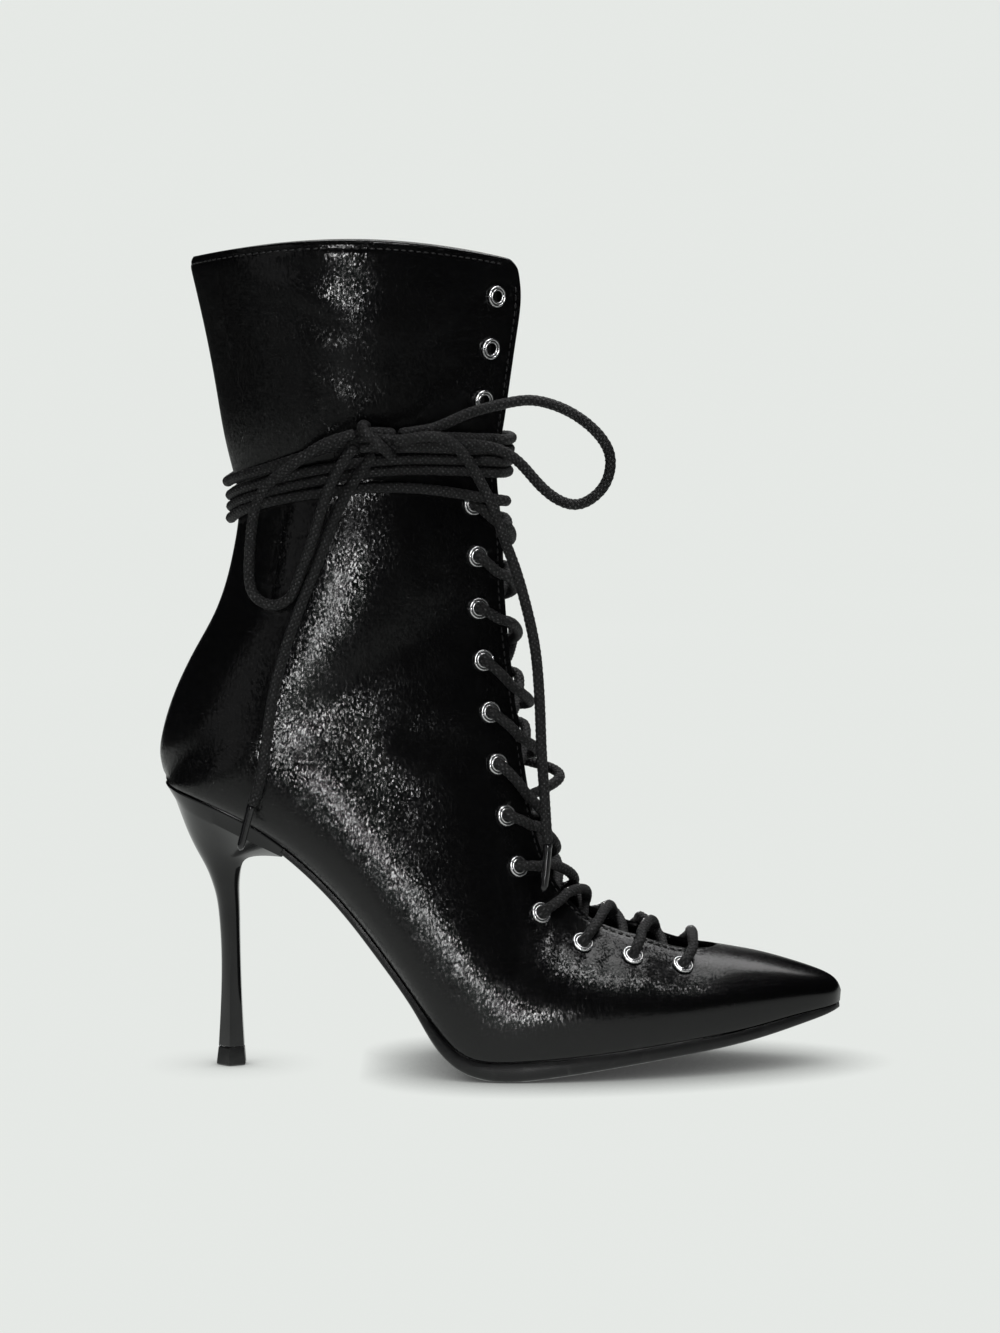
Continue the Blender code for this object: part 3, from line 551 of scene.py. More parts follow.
def makeSteel():
    finish, tree, shader, spot = newFinish("polished_steel", Metallic=1.0)
    grain, marks = grainOn(tree, spot, steelLook), marksOn(tree, spot, steelLook)
    # painted shade in the groove between the two rolled rings and down the bore, which are rougher there too
    place = partsOf(tree, spot)
    flat = addNode(tree, "ShaderNodeCombineXYZ", {"X": place["X"], "Y": place["Y"]}).outputs[0]
    away = vectors(tree, "LENGTH", flat)["Value"]
    fromGroove = maths(tree, "ABSOLUTE", maths(tree, "SUBTRACT", away, steelLook["groove"] * mm))
    groove = remap(tree, fromGroove, *(r * mm for r in steelLook["grooveFade"]), 1, 0)
    bore = remap(tree, away, *(r * mm for r in steelLook["boreFade"]), 1, 0)
    paintedShade = maths(tree, "MAXIMUM", groove, bore)
    clean = blend(tree, marks["Scuff"], *steelLook["colours"])
    dull = maths(tree, "ADD", marks["Scuff"], paintedShade)
    wire(tree, shader, Normal=bump(tree, grain["Height"], *steelLook["bump"]),
         Base_Color=blend(tree, paintedShade, clean, steelLook["paintedShade"]),
         Roughness=remap(tree, dull, 0, 1, *steelLook["roughness"]))
    return finish


# the lace's second colour is a painted highlight, laid on the flecks of the plait crests
laceLook = {"colours": ((0.003, 0.003, 0.0033), (0.15, 0.15, 0.153)), "grain": (0.00036, 1.0, 1.0, 0.0),
            "bump": (0.85, 0.0003), "roughness": (0.55, 0.22), "braid": 1.9, "strands": 6,
            "yarns": 30.0, "yarnHeight": 0.12, "proud": (0.45, 0.9), "waxAndPaintedGlint": (0.32, 0.46)}


def makeLace():
    finish, tree, shader, spot = newFinish("waxed_braid", Specular_IOR_Level=0.5)
    place = partsOf(tree, addNode(tree, "ShaderNodeUVMap", uv_map="braid").outputs["UV"])
    turns = maths(tree, "MULTIPLY", place["Y"], float(laceLook["strands"]))
    pitch = maths(tree, "DIVIDE", place["X"], laceLook["braid"])
    rise = maths(tree, "ADD", turns, pitch)
    fall = maths(tree, "SUBTRACT", turns, pitch)
    plaits = [maths(tree, "ABSOLUTE", maths(tree, "SINE", maths(tree, "MULTIPLY", way, math.pi)))
              for way in (rise, fall)]
    weave = maths(tree, "MULTIPLY", *plaits)
    ripple = maths(tree, "SINE", maths(tree, "MULTIPLY", rise, laceLook["yarns"]))
    yarn = maths(tree, "MULTIPLY", maths(tree, "ADD", ripple, 1.0), laceLook["yarnHeight"])
    grain = grainOn(tree, spot, laceLook)
    height = maths(tree, "ADD", maths(tree, "ADD", weave, yarn), grain["Height"])
    # wax on the highest grains of the highest plaits: smoother there, and lighter in colour as a painted
    # highlight
    waxAndPaintedGlint = maths(tree, "MULTIPLY", remap(tree, weave, *laceLook["proud"], 0, 1),
                  remap(tree, grain["Height"], *laceLook["waxAndPaintedGlint"], 0, 1))
    wire(tree, shader, Normal=bump(tree, height, *laceLook["bump"]),
         Base_Color=blend(tree, waxAndPaintedGlint, *laceLook["colours"]),
         Roughness=remap(tree, waxAndPaintedGlint, 0, 1, *laceLook["roughness"]))
    return finish


agletLook = {"colours": ((0.008, 0.008, 0.009), (0.04, 0.04, 0.042)), "marks": (400.0, 0.7, 0.2),
             "roughness": (0.16, 0.34)}


def makeAglet():
    finish, tree, shader, spot = newFinish("aglet_plastic", Coat_Weight=0.6, Coat_Roughness=0.05)
    marks = marksOn(tree, spot, agletLook)
    wire(tree, shader, Base_Color=blend(tree, marks["Scuff"], *agletLook["colours"]),
         Roughness=scuffRoughness(tree, marks, agletLook))
    return finish


threadLook = {"colours": ((0.005, 0.005, 0.0055), (0.02, 0.02, 0.021)), "grain": (0.0003, 1.0, 1.0, 0.0),
              "bump": (0.5, 0.0001), "roughness": (0.42, 0.3), "worn": (0.1, 0.5)}


def makeThread():
    finish, tree, shader, spot = newFinish("sewing_thread", Specular_IOR_Level=0.5)
    grain = grainOn(tree, spot, threadLook)
    worn = remap(tree, grain["Height"], *threadLook["worn"], 0, 1)
    wire(tree, shader, Normal=bump(tree, grain["Height"], *threadLook["bump"]),
         Base_Color=blend(tree, worn, *threadLook["colours"]),
         Roughness=remap(tree, worn, 0, 1, *threadLook["roughness"]))
    return finish


leather, lining, lacquer, soleRubber = makeLeather(), makeLining(), makeLacquer(), makeSoleRubber()
steel, waxedLace, agletPlastic, thread = makeSteel(), makeLace(), makeAglet(), makeThread()
print("finishes made")

# Eyelets: where they sit, then one turned mesh placed in each
eyelets = {
    "count": 16, "laced": 12, "first": 12.8, "pitch": 17.7, "inset": 10.8,
    "instep": 11.0, "instepSpread": 3.3, "instepInset": 5.0,  # set further in over the instep
    "holeRadius": 2.75, "holeBand": 1.6, "sides": 40,
    "backing": 4.2, "backingSides": 24, "backingDepth": (2.5, 2.8), "backingSharp": 40,
    "profile": ((1.92, -2.3), (1.92, 0.2), (1.97, 0.62), (2.12, 0.86), (2.32, 0.92), (2.52, 0.82),
                (2.64, 0.6), (2.74, 0.52), (2.84, 0.62), (2.98, 0.88), (3.22, 0.98), (3.46, 0.88),
                (3.64, 0.6), (3.7, 0.3), (3.64, 0.02), (2.4, 0.02), (2.36, -1.86), (3.55, -1.9),
                (3.6, -2.15), (3.4, -2.36), (2.2, -2.42)),
}


def eyeletShare(s, side):
    bend = math.exp(-((s - eyelets["instep"]) / eyelets["instepSpread"]) ** 2)
    return insetFromEdge(s, side, eyelets["inset"] + eyelets["instepInset"] * bend)


def placeEyelets():
    stops = np.linspace(last["throatEnd"], last["collar"], 120)
    row = np.array([skin(s, lateral, eyeletShare(s, lateral)) * (1, 0, 1) for s in stops])
    run = runAlong(row)
    stations = np.interp(eyelets["first"] + eyelets["pitch"] * np.arange(eyelets["count"]), run, stops)
    return {side: [(s, eyeletShare(s, side)) for s in stations] for side in (lateral, medial)}


places = placeEyelets()
eyeletSpots = {side: np.array([skin(s, side, a) for s, a in places[side]]) for side in (lateral, medial)}
eyeletAxes = {side: np.array([skinNormal(s, side, a) for s, a in places[side]]) for side in (lateral, medial)}


def turnedMesh(name, profile, sides, finish):
    count = len(profile)
    verts, faces = [], []
    for i in range(sides):
        turn = 2 * math.pi * i / sides
        verts += [(r * mm * math.cos(turn), r * mm * math.sin(turn), z * mm) for r, z in profile]
        for j in range(count):
            k = (j + 1) % count
            n = (i + 1) % sides
            faces.append((i * count + j, n * count + j, n * count + k, i * count + k))
    piece = newPiece(name, verts, faces, finish)
    faceOutwards(piece, False)
    return piece


def makeEyelets():
    first = turnedMesh("eyelet_ring_mesh", eyelets["profile"], eyelets["sides"], steel)
    ring = first.data
    bpy.data.objects.remove(first)
    for side, word in ((lateral, "lateral"), (medial, "medial")):
        for i in range(eyelets["count"]):
            piece = bpy.data.objects.new(f"eyelet_ring_{word}_{i + 1:02d}", ring)
            turn = Vector(eyeletAxes[side][i]).to_track_quat("Z", "Y").to_matrix().to_4x4()
            piece.matrix_world = Matrix.Translation(Vector(toWorld(eyeletSpots[side][i]))) @ turn
            bpy.context.scene.collection.objects.link(piece)
            dress(piece, "eyelet_metal", f"eyelet_{word}_{i + 1:02d}")


# Two directions square to an eyelet's axis
def acrossAxis(axis):
    ahead = unit(np.cross(axis, (0, 1, 0.2)))
    return ahead, np.cross(axis, ahead)


# Lining left whole behind the unlaced medial eyelets, so that no light shows through
def makeEyeletBacking():
    verts, faces = [], []
    sides = eyelets["backingSides"]
    for i in range(eyelets["laced"], eyelets["count"]):
        axis = eyeletAxes[medial][i]
        ahead, beside = acrossAxis(axis)
        first = len(verts)
        for turn in evenTurns(sides):
            out = (ahead * math.cos(turn) + beside * math.sin(turn)) * eyelets["backing"]
            edge = eyeletSpots[medial][i] + out
            verts += list(toWorld([edge - axis * deep for deep in eyelets["backingDepth"]]))
        for j in range(sides):
            k = (j + 1) % sides
            faces.append((first + 2 * j, first + 2 * k, first + 2 * k + 1, first + 2 * j + 1))
        faces.append(tuple(first + 2 * j for j in range(sides))[::-1])
        faces.append(tuple(first + 2 * j + 1 for j in range(sides)))
    piece = newPiece("eyelet_backing", verts, faces, lining)
    piece.data.set_sharp_from_angle(angle=math.radians(eyelets["backingSharp"]))
    return dress(piece, "lining")


makeEyelets()
makeEyeletBacking()
print("eyelets set:", 2 * eyelets["count"])

# Upper. A crease runs from start to end (length, height) on one side: a soft trough with ridges beside it
upper = {
    "wall": 1.8, "rim": 0.4, "rimAngle": 60, "rowsPerStation": 9, "collarRows": (29.5, 17), "corner": 4.0,
    "throatColumns": (0.84, 52, 13), "hemOpens": (0.1, 1.2), "seamOpens": 0.6,
    "stitchInset": 2.3, "hem": (0.14, 1.0, 0.8), "groove": (0.2, 0.6), "backSeam": (0.4, 0.9),
    "collarRoll": 0.9, "collarBand": 6, "backRoll": 1.5, "backBand": 3.5,
    "rollLeast": 0.4, "rollSpread": (0.45, 0.3),
    "pucker": 0.35, "puckerReach": 4.5, "folds": 7, "foldShare": 0.35, "foldRing": (5.2, 2.0),
    "counter": (18.7, -0.52), "counterSpread": (1.4, 0.34), "easing": 70,
    "smoothToe": (2.5, 4.0, 0.18), "lips": (0.4, 1.9),
    "creases": (
        # side, start, end, width, depth
        (lateral, (34, 280), (54, 273), 4.5, 0.32),
        (lateral, (47, 262), (60, 254), 4.0, 0.28),
        (lateral, (58, 244), (72, 234), 4.0, 0.20),
        (lateral, (64, 271), (86, 265), 7.0, 0.18),
        (lateral, (88, 117), (110, 109), 6.0, 0.55),
        (lateral, (54, 103), (108, 36), 12.0, -1.2),  # ridge from the counter to the ball
        (lateral, (52, 186), (50, 174), 3.0, 0.20),
        (lateral, (88, 188), (92, 172), 3.5, 0.22),
        (lateral, (60, 224), (57, 236), 3.0, 0.22),
        (lateral, (96, 226), (99, 240), 3.5, 0.25),
        (lateral, (124, 52), (121, 38), 1.9, 0.12),
        (lateral, (131, 49), (127, 33), 1.8, 0.10),
        (lateral, (138, 46), (135, 31), 1.9, 0.12),
        (lateral, (146, 44), (143, 32), 1.8, 0.10),
        (lateral, (154, 42), (152, 30), 1.9, 0.11),
        (lateral, (163, 40), (161, 30), 2.0, 0.10),
        (medial, (38, 279), (60, 274), 5.0, 0.45),
        (medial, (52, 262), (66, 256), 5.0, 0.50),
        (medial, (66, 244), (82, 239), 5.5, 0.45),
        (medial, (86, 120), (108, 111), 6.0, 0.55),
        (medial, (80, 98), (104, 88), 6.5, 0.40),
        (medial, (54, 103), (108, 36), 12.0, -1.2),
        (medial, (50, 186), (47, 174), 3.0, 0.22),
        (medial, (84, 188), (88, 174), 3.5, 0.22),
        (medial, (122, 54), (118, 38), 2.0, 0.12),
        (medial, (132, 50), (128, 34), 1.9, 0.11),
        (medial, (142, 46), (139, 32), 1.9, 0.11),
        (medial, (152, 43), (150, 31), 2.0, 0.10),
    ),
}


def creaseRelief(points, side):
    total = np.zeros(points.shape[:-1])
    lipHeight, lipAt = upper["lips"]
    spot = points[..., (0, 2)]
    for creaseSide, start, end, width, depth in upper["creases"]:
        if creaseSide != side:
            continue
        run = np.subtract(end, start).astype(float)
        t = np.clip(((spot - start) @ run) / (run @ run), 0, 1)
        away = np.linalg.norm(spot - start - t[..., None] * run, axis=-1) / width
        lips = lipHeight if depth > 0 else 0  # a negative depth is a plain ridge
        total += depth * (lips * np.exp(-(away - lipAt) ** 2) - np.exp(-away ** 2))
    return total


# Leather drawn in at each eyelet, with short folds round it
def puckerRelief(points, side):
    total = np.zeros(points.shape[:-1])
    ring, spread = upper["foldRing"]
    for i, (spot, axis) in enumerate(zip(eyeletSpots[side], eyeletAxes[side])):
        ahead, beside = acrossAxis(axis)
        away = points - spot
        near = np.linalg.norm(away, axis=-1)
        turn = np.arctan2(away @ beside, away @ ahead)
        folds = np.cos(upper["folds"] * turn + i) * np.exp(-((near - ring) / spread) ** 2)
        total += upper["pucker"] * (upper["foldShare"] * folds - np.exp(-(near / upper["puckerReach"]) ** 2))
    return total


# How far the collar's edge is rolled in, most at the middle of the side and at the back corner
def collarTuck(toCollar, a):
    least = upper["rollLeast"]
    sideSpread, backSpread = upper["rollSpread"]
    atSide = least + (1 - least) * np.exp(-(a / sideSpread) ** 2)
    atBack = np.exp(-((a + 1) / backSpread) ** 2)
    side = upper["collarRoll"] * np.clip(1 - toCollar / upper["collarBand"], 0, 1) ** 2 * atSide
    back = upper["backRoll"] * np.clip(1 - toCollar / upper["backBand"], 0, 1) ** 2 * atBack
    return side + back


def runFromEnd(points, axis):
    steps = np.linalg.norm(np.diff(points, axis=axis), axis=-1)
    back = np.flip(np.cumsum(np.flip(steps, axis), axis), axis)
    return np.concatenate((back, np.zeros_like(np.take(back, [0], axis))), axis)


# Eases the fold left where the seat's outline closes at the back of the heel
def easeCounter(points, s, a):
    middleS, middleA = upper["counter"]
    spreadS, spreadA = upper["counterSpread"]
    share = np.exp(-((s - middleS) / spreadS) ** 2 - ((a - middleA) / spreadA) ** 2)
    share[:, 0] = 0  # the bottom edge and the back seam stay
    for _ in range(upper["easing"]):
        middle = (points[:-2, 1:-1] + points[2:, 1:-1] + points[1:-1, :-2] + points[1:-1, 2:]) / 4
        points[1:-1, 1:-1] += share[1:-1, 1:-1, None] * (middle - points[1:-1, 1:-1])
    return points


def upperGrid(side):
    fineFrom, fineRows = upper["collarRows"]
    top = last["collar"]
    plainRows = np.arange(0, fineFrom, 1 / upper["rowsPerStation"])
    rows = np.concatenate((plainRows, np.linspace(fineFrom, top, fineRows)))
    # columns lie closer at the throat
    closeFrom, count, closeCount = upper["throatColumns"]
    columns = np.concatenate((np.linspace(-1, closeFrom, count), np.linspace(closeFrom, 1, closeCount)[1:]))
    s, a = np.meshgrid(rows, columns, indexing="ij")
    flat = skin(s, side, a)
    toCollar, toThroat = runFromEnd(flat, 0), runFromEnd(flat, 1)
    # the collar's front corner is rounded: a square of the sheet drawn in to a quarter disc
    radius = upper["corner"]
    u = np.clip(1 - toCollar / radius, 0, 1)
    v = np.clip(1 - toThroat / radius, 0, 1)
    perStation = np.linalg.norm(skin(top, side, 1) - skin(top - 0.1, side, 1)) * 10
    perShare = np.linalg.norm(skin(top, side, 1) - skin(top, side, 0.98)) * 50
    s = s - radius * (u - u * np.sqrt(1 - v * v / 2)) / perStation
    a = a - radius * (v - v * np.sqrt(1 - u * u / 2)) / perShare
    flat = skin(s, side, a)
    relief = creaseRelief(flat, side) + puckerRelief(flat, side)
    # hem with a sewn groove, which fades out at the throat's end
    edge = np.minimum(toCollar, toThroat)
    hemFrom, hemFade = upper["hemOpens"]
    opened = np.clip((s - last["throatEnd"] - hemFrom) / hemFade, 0, 1)
    hemHeight, hemAt, hemSpread = upper["hem"]
    grooveDepth, grooveSpread = upper["groove"]
    hem = hemHeight * np.exp(-((edge - hemAt) / hemSpread) ** 2)
    hem -= grooveDepth * np.exp(-((edge - upper["stitchInset"]) / grooveSpread) ** 2)
    relief += hem * opened
    relief -= collarTuck(toCollar, a)
    # closed seam down the back
    seamDepth, seamSpread = upper["backSeam"]
    fromBack = np.linalg.norm(flat - skin(s, side, -1.0), axis=-1)
    seamShare = np.clip((s - last["heelClose"]) / upper["seamOpens"], 0, 1)
    relief -= seamDepth * np.exp(-(fromBack / seamSpread) ** 2) * seamShare
    points = easeCounter(flat + skinNormal(s, side, a) * relief[..., None], s, a)
    toeFrom, toeFade, toeGrain = upper["smoothToe"]
    grain = np.clip((s - toeFrom) / toeFade, toeGrain, 1)
    return points, grain


def makeUpper():
    verts, faces, grain = [], [], []
    for side in (lateral, medial):
        points, share = upperGrid(side)
        rows, columns = share.shape
        first = len(verts)
        verts += list(toWorld(points.reshape(-1, 3)))
        grain += list(share.ravel())
        for i in range(rows - 1):
            for j in range(columns - 1):
                k = first + i * columns + j
                corners = (k, k + columns, k + columns + 1, k + 1)
                faces.append(corners if side == medial else corners[::-1])
    piece = newPiece("leather_upper", verts, faces, leather, lining)
    share = piece.data.attributes.new("grainShare", "FLOAT", "POINT")
    share.data.foreach_set("value", grain)
    shape = bmesh.new()
    shape.from_mesh(piece.data)
    bmesh.ops.remove_doubles(shape, verts=shape.verts, dist=weldDistance)
    openEyeletHoles(shape)
    shape.to_mesh(piece.data)
    shape.free()
    piece.data.shade_smooth()
    wall = piece.modifiers.new("wall", "SOLIDIFY")
    wall.thickness = upper["wall"] * mm
    wall.offset = -1
    wall.material_offset = 1
    rim = piece.modifiers.new("rim", "BEVEL")
    rim.width = upper["rim"] * mm
    rim.segments = 2
    rim.limit_method = "ANGLE"
    rim.angle_limit = math.radians(upper["rimAngle"])
    return dress(piece, "leather", "upper")


# Round holes: faces under an eyelet go, and the border left is drawn to a circle
def openEyeletHoles(shape):
    radius = eyelets["holeRadius"] * mm
    for side in (lateral, medial):
        for spot, axis in zip(toWorld(eyeletSpots[side]), eyeletAxes[side]):
            spot, axis = Vector(spot), Vector(axis)
            gone = [face for face in shape.faces if (face.calc_center_median() - spot).length < radius]
            bmesh.ops.delete(shape, geom=gone, context="FACES")
            for vert in shape.verts:
                away = vert.co - spot
                if away.length < radius * eyelets["holeBand"] and vert.is_boundary:
                    flat = away - axis * away.dot(axis)
                    vert.co = vert.co - flat + flat.normalized() * radius


makeUpper()
print("upper made")

# Edge stitching along the throat and the collar. One stitch: shares along it, lift and girth there
stitching = {
    "pitch": 2.7, "length": 2.0, "radius": 0.28, "sides": 6, "sunk": 0.1,
    "throat": (5.7, 29.55), "collar": (-0.97, 0.93), "along": (-1, -0.75, -0.3, 0.3, 0.75, 1),
    "lift": (-0.22, 0.02, 0.1, 0.1, 0.02, -0.22), "girth": (0.35, 0.85, 1, 1, 0.85, 0.35),
}


def stitchLine(points, normals):
    run = runAlong(points)
    middles = np.arange(stitching["pitch"], run[-1] - stitching["pitch"], stitching["pitch"])
    lift = np.array(stitching["lift"])
    girth = np.array(stitching["girth"]) * stitching["radius"]
    stops = middles[:, None] + np.array(stitching["along"]) * stitching["length"] / 2

    def along(values):
        return np.stack([np.interp(stops, run, values[:, k]) for k in range(3)], -1)

    normal = unit(along(normals))
    centre = along(points) + normal * lift[None, :, None]
    ahead = unit(np.gradient(centre, axis=1))
    beside = unit(np.cross(ahead, normal))
    turn = evenTurns(stitching["sides"])
    ring = (normal[:, :, None] * np.cos(turn)[None, None, :, None]
            + beside[:, :, None] * np.sin(turn)[None, None, :, None])
    return centre[:, :, None] + ring * girth[None, :, None, None]


def makeStitching():
    lines = []
    inset, sunk, top = upper["stitchInset"], stitching["sunk"], last["collar"]
    for side in (lateral, medial):
        s = np.linspace(*stitching["throat"], 260)
        a = np.array([insetFromEdge(at, side, inset) for at in s])
        lines.append(stitchLine(overSkin(s, side, a, -sunk), skinNormal(s, side, a)))
        a = np.linspace(*stitching["collar"], 160)
        perStation = np.linalg.norm(skin(top - 0.02, side, a) - skin(top - 0.12, side, a), axis=-1) * 10
        s = top - inset / perStation
        deep = (collarTuck(inset, a) + sunk)[:, None]
        lines.append(stitchLine(skin(s, side, a) - skinNormal(s, side, a) * deep, skinNormal(s, side, a)))
    verts, faces = [], []
    sides = stitching["sides"]
    for line in lines:
        stitches, rings = line.shape[:2]
        first = len(verts)
        verts += list(toWorld(line.reshape(-1, 3)))
        for n in range(stitches):
            faces += ringFaces(first + n * rings * sides, rings, sides)
    return dress(newPiece("edge_stitching", verts, faces, thread), "leather")


makeStitching()
print("stitching sewn")

# Sole, insole, heel and top lift
soleSetup = {
    "gap": 0.3, "overhang": 0.6, "wideHalf": 30, "edgeLift": 1.5, "fullSole": 7, "flat": 0.84, "curl": 1.6,
    "across": (-0.985, -0.96, -0.92, -0.84, -0.5, 0, 0.5, 0.84, 0.92, 0.96, 0.985),
    "start": 0.25, "toe": 2, "toeRows": 30, "rows": 150, "sharp": 50,
    "insole": 2.0, "insoleInset": 3.0, "insoleSpan": (2.2, 17, 18.93), "insoleRows": (110, 26),
    "insoleSharp": 60,
}


def acrossBase(s, half, outline):
    middle, up = baseFrame(s)
    return np.array([middle + up * rise + np.array((0, share * half, 0)) for share, rise in outline])


def makeOutsole():
    rings = []
    flat, curl = soleSetup["flat"], soleSetup["curl"]
    toeRows = np.linspace(soleSetup["start"], soleSetup["toe"], soleSetup["toeRows"])[:-1]
    rows = np.linspace(soleSetup["toe"], last["breast"] + 0.1, soleSetup["rows"])
    for s in np.concatenate((toeRows, rows)):
        thick = float(sectionAt(s)["sole"])
        half = float(featherHalf(s))
        half += soleSetup["overhang"] * min(1.0, half / soleSetup["wideHalf"])
        lift = soleSetup["edgeLift"] * min(1.0, thick / soleSetup["fullSole"])
        low, high = -soleSetup["gap"] - thick, -soleSetup["gap"]
        under = [(w, low + lift * max(abs(w) - flat, 0) ** curl / (1 - flat) ** curl)
                 for w in soleSetup["across"]]
        edge = [(1.0, low + lift + 0.12 * thick), (1.004, (low + high + lift) / 2),
                (1.0, high - 0.08 * thick), (0.985, high)]
        outline = under + edge + [(0.5, high), (-0.5, high)] + [(-w, z) for w, z in edge[::-1]]
        ring = acrossBase(s, half, outline)
        ring[:, 2] = np.maximum(ring[:, 2], 0)
        rings.append(ring)
    return dress(loftPiece("outsole_rubber", rings, soleRubber, soleSetup["sharp"]), "sole", "outsole")


def makeInsole():
    start, heel, end = soleSetup["insoleSpan"]
    rows, backRows = soleSetup["insoleRows"]
    # rings closer together at the back, where the outline rounds off
    back = np.sin(np.linspace(0, math.pi / 2, backRows))[1:]
    top = soleSetup["insole"]
    outline = [(-0.97, 0.02), (0, 0.02), (0.97, 0.02), (1, 0.3), (1, top - 0.5), (0.985, top - 0.12),
               (0.95, top), (0.6, top - 0.3), (0, top - 0.5), (-0.6, top - 0.3), (-0.95, top),
               (-0.985, top - 0.12), (-1, top - 0.5), (-1, 0.3)]
    rings = [acrossBase(s, float(featherHalf(s)) - soleSetup["insoleInset"], outline)
             for s in np.concatenate((np.linspace(start, heel, rows), heel + (end - heel) * back))]
    return dress(loftPiece("insole_sock", rings, lining, soleSetup["insoleSharp"]), "lining", "insole")


# seat: share of the seat's outline left in a ring of the heel, facet: share of the six-sided foot
heelSetup = {
    "rings": (  # backX, backZ, frontX, frontZ, half, seat, facet
        (4.8, 93.2, 42.2, 74.9, 20.6, 1.0, 0.0), (8.6, 82.2, 36.0, 74.2, 14.6, 0.7, 0.0),
        (12.1, 74.5, 30.2, 72.8, 10.2, 0.4, 0.0), (15.5, 68.0, 27.5, 69.2, 7.4, 0.2, 0.0),
        (17.9, 61.4, 26.6, 62.6, 5.6, 0.0, 0.0), (19.4, 53.6, 26.7, 53.8, 4.5, 0.0, 0.1),
        (20.3, 38.0, 26.9, 38.0, 4.0, 0.0, 0.3), (20.0, 20.7, 27.4, 20.7, 4.3, 0.0, 0.8),
        (19.3, 6.6, 28.1, 6.6, 5.1, 0.0, 1.0)),
    "roundStem": ((0, 0.55), (0.05, 0.74), (0.16, 0.90), (0.32, 1.0), (0.52, 1.0), (0.75, 0.84),
                  (0.93, 0.46), (1, 0)),
    "facetStem": ((0, 0.5), (0.14, 0.63), (0.28, 0.76), (0.42, 0.88), (0.55, 1.0), (0.78, 0.6),
                  (1, 0.22), (1, 0)),
    # rim: how far down and how much wider than the seat.
    # liftRings: share of the lift's height and how much is cut off
    "rim": ((0.0, -0.35), (0.12, -0.1), (0.45, 0.05), (0.9, -0.05), (1.3, -0.3)), "tuck": 1.6,
    "liftTop": (19.25, 28.1, 6.3, 5.1), "liftFoot": (18.5, 28.6, 0.0, 5.5),
    "liftRings": ((0, 0.3), (0.05, 0.05), (0.1, 0), (0.9, 0), (0.96, 0.08), (1, 0.4)),
    "halfPoints": 36, "rows": 70, "margin": 0.03, "sharp": 24,
}


def seatOutline():
    share = np.sin(math.pi / 2 * np.linspace(0, 1, heelSetup["halfPoints"]))
    start = last["breast"] + heelSetup["margin"]
    stops = start + (last["heelClose"] - heelSetup["margin"] - last["breast"]) * share
    baseX = sectionAt(stops)["baseX"]
    wide = featherHalf(stops)
    return stops, (baseX[0] - baseX) / (baseX[0] - baseX[-1]), wide / wide.max()


def stemOutline(facet):
    flats = np.array(heelSetup["facetStem"])
    t = np.linspace(0, len(flats) - 1, heelSetup["halfPoints"])
    rounded = SmoothTable(heelSetup["roundStem"]).at(t)
    faceted = np.stack([np.interp(t, np.arange(len(flats)), flats[:, k]) for k in (0, 1)], -1)
    return rounded * (1 - facet) + faceted * facet


def bothHalves(x, wide, z):
    near = np.stack((x, -wide, z), -1)
    far = np.stack((x, wide, z), -1)[-2::-1]
    return np.concatenate((near, far))


def heelRing(backX, backZ, frontX, frontZ, half, seat, facet):
    seat, facet = np.clip((seat, facet), 0, 1)
    seatAlong, seatWide = seatOutline()[1:]
    stem = stemOutline(facet)
    along = seatAlong * seat + stem[:, 0] * (1 - seat)
    wide = np.maximum(half * (seatWide * seat + stem[:, 1] * (1 - seat)), 0)
    return bothHalves(frontX + (backX - frontX) * along, wide, frontZ + (backZ - frontZ) * along)


def makeHeel():
    rings = []
    for down, grow in heelSetup["rim"]:
        half = []
        for s, along in zip(*seatOutline()[:2]):
            middle, up = baseFrame(s)
            x, _, z = middle - up * (soleSetup["gap"] + down)
            drawn = heelSetup["tuck"] * along ** 4  # at the back the rim is drawn in along the seat's slope
            x += drawn * up[2] - grow * 0.6
            z -= drawn * up[0]
            half.append((x, max(float(featherHalf(s)) + grow, 0), z))
        rings.append(bothHalves(*np.array(half).T))
    table = SmoothTable(heelSetup["rings"])
    rings += [heelRing(*table.at(t)) for t in np.linspace(0, len(heelSetup["rings"]) - 1, heelSetup["rows"])]
    piece = loftPiece("lacquered_heel", rings, lacquer, heelSetup["sharp"], True)
    return dress(piece, "heel_lacquer", "heel")


def makeHeelLift():
    rings = []
    for t, cut in heelSetup["liftRings"]:
        backX, frontX, z, half = (top + (foot - top) * t for top, foot in
                                  zip(heelSetup["liftTop"], heelSetup["liftFoot"]))
        rings.append(heelRing(backX + cut, z, frontX - cut, z, half - cut, 0.0, 1.0))
    return dress(loftPiece("top_lift", rings, soleRubber, heelSetup["sharp"]), "sole", "heel_lift")


makeOutsole()
makeInsole()
makeHeel()
makeHeelLift()
print("sole and heel made")

# Lace: a round braid of one thickness all through
cord = {"radius": 1.8, "step": 0.7, "sides": 18, "relief": 0.13, "tip": 0.05}


def evenRoute(route, step):
    curve = SmoothTable(route).at(np.linspace(0, len(route) - 1, 30 * len(route)))
    run = runAlong(curve)
    stops = np.linspace(0, run[-1], max(int(run[-1] / step), 4) + 1)
    return np.stack([np.interp(stops, run, curve[:, k]) for k in range(3)], -1), stops


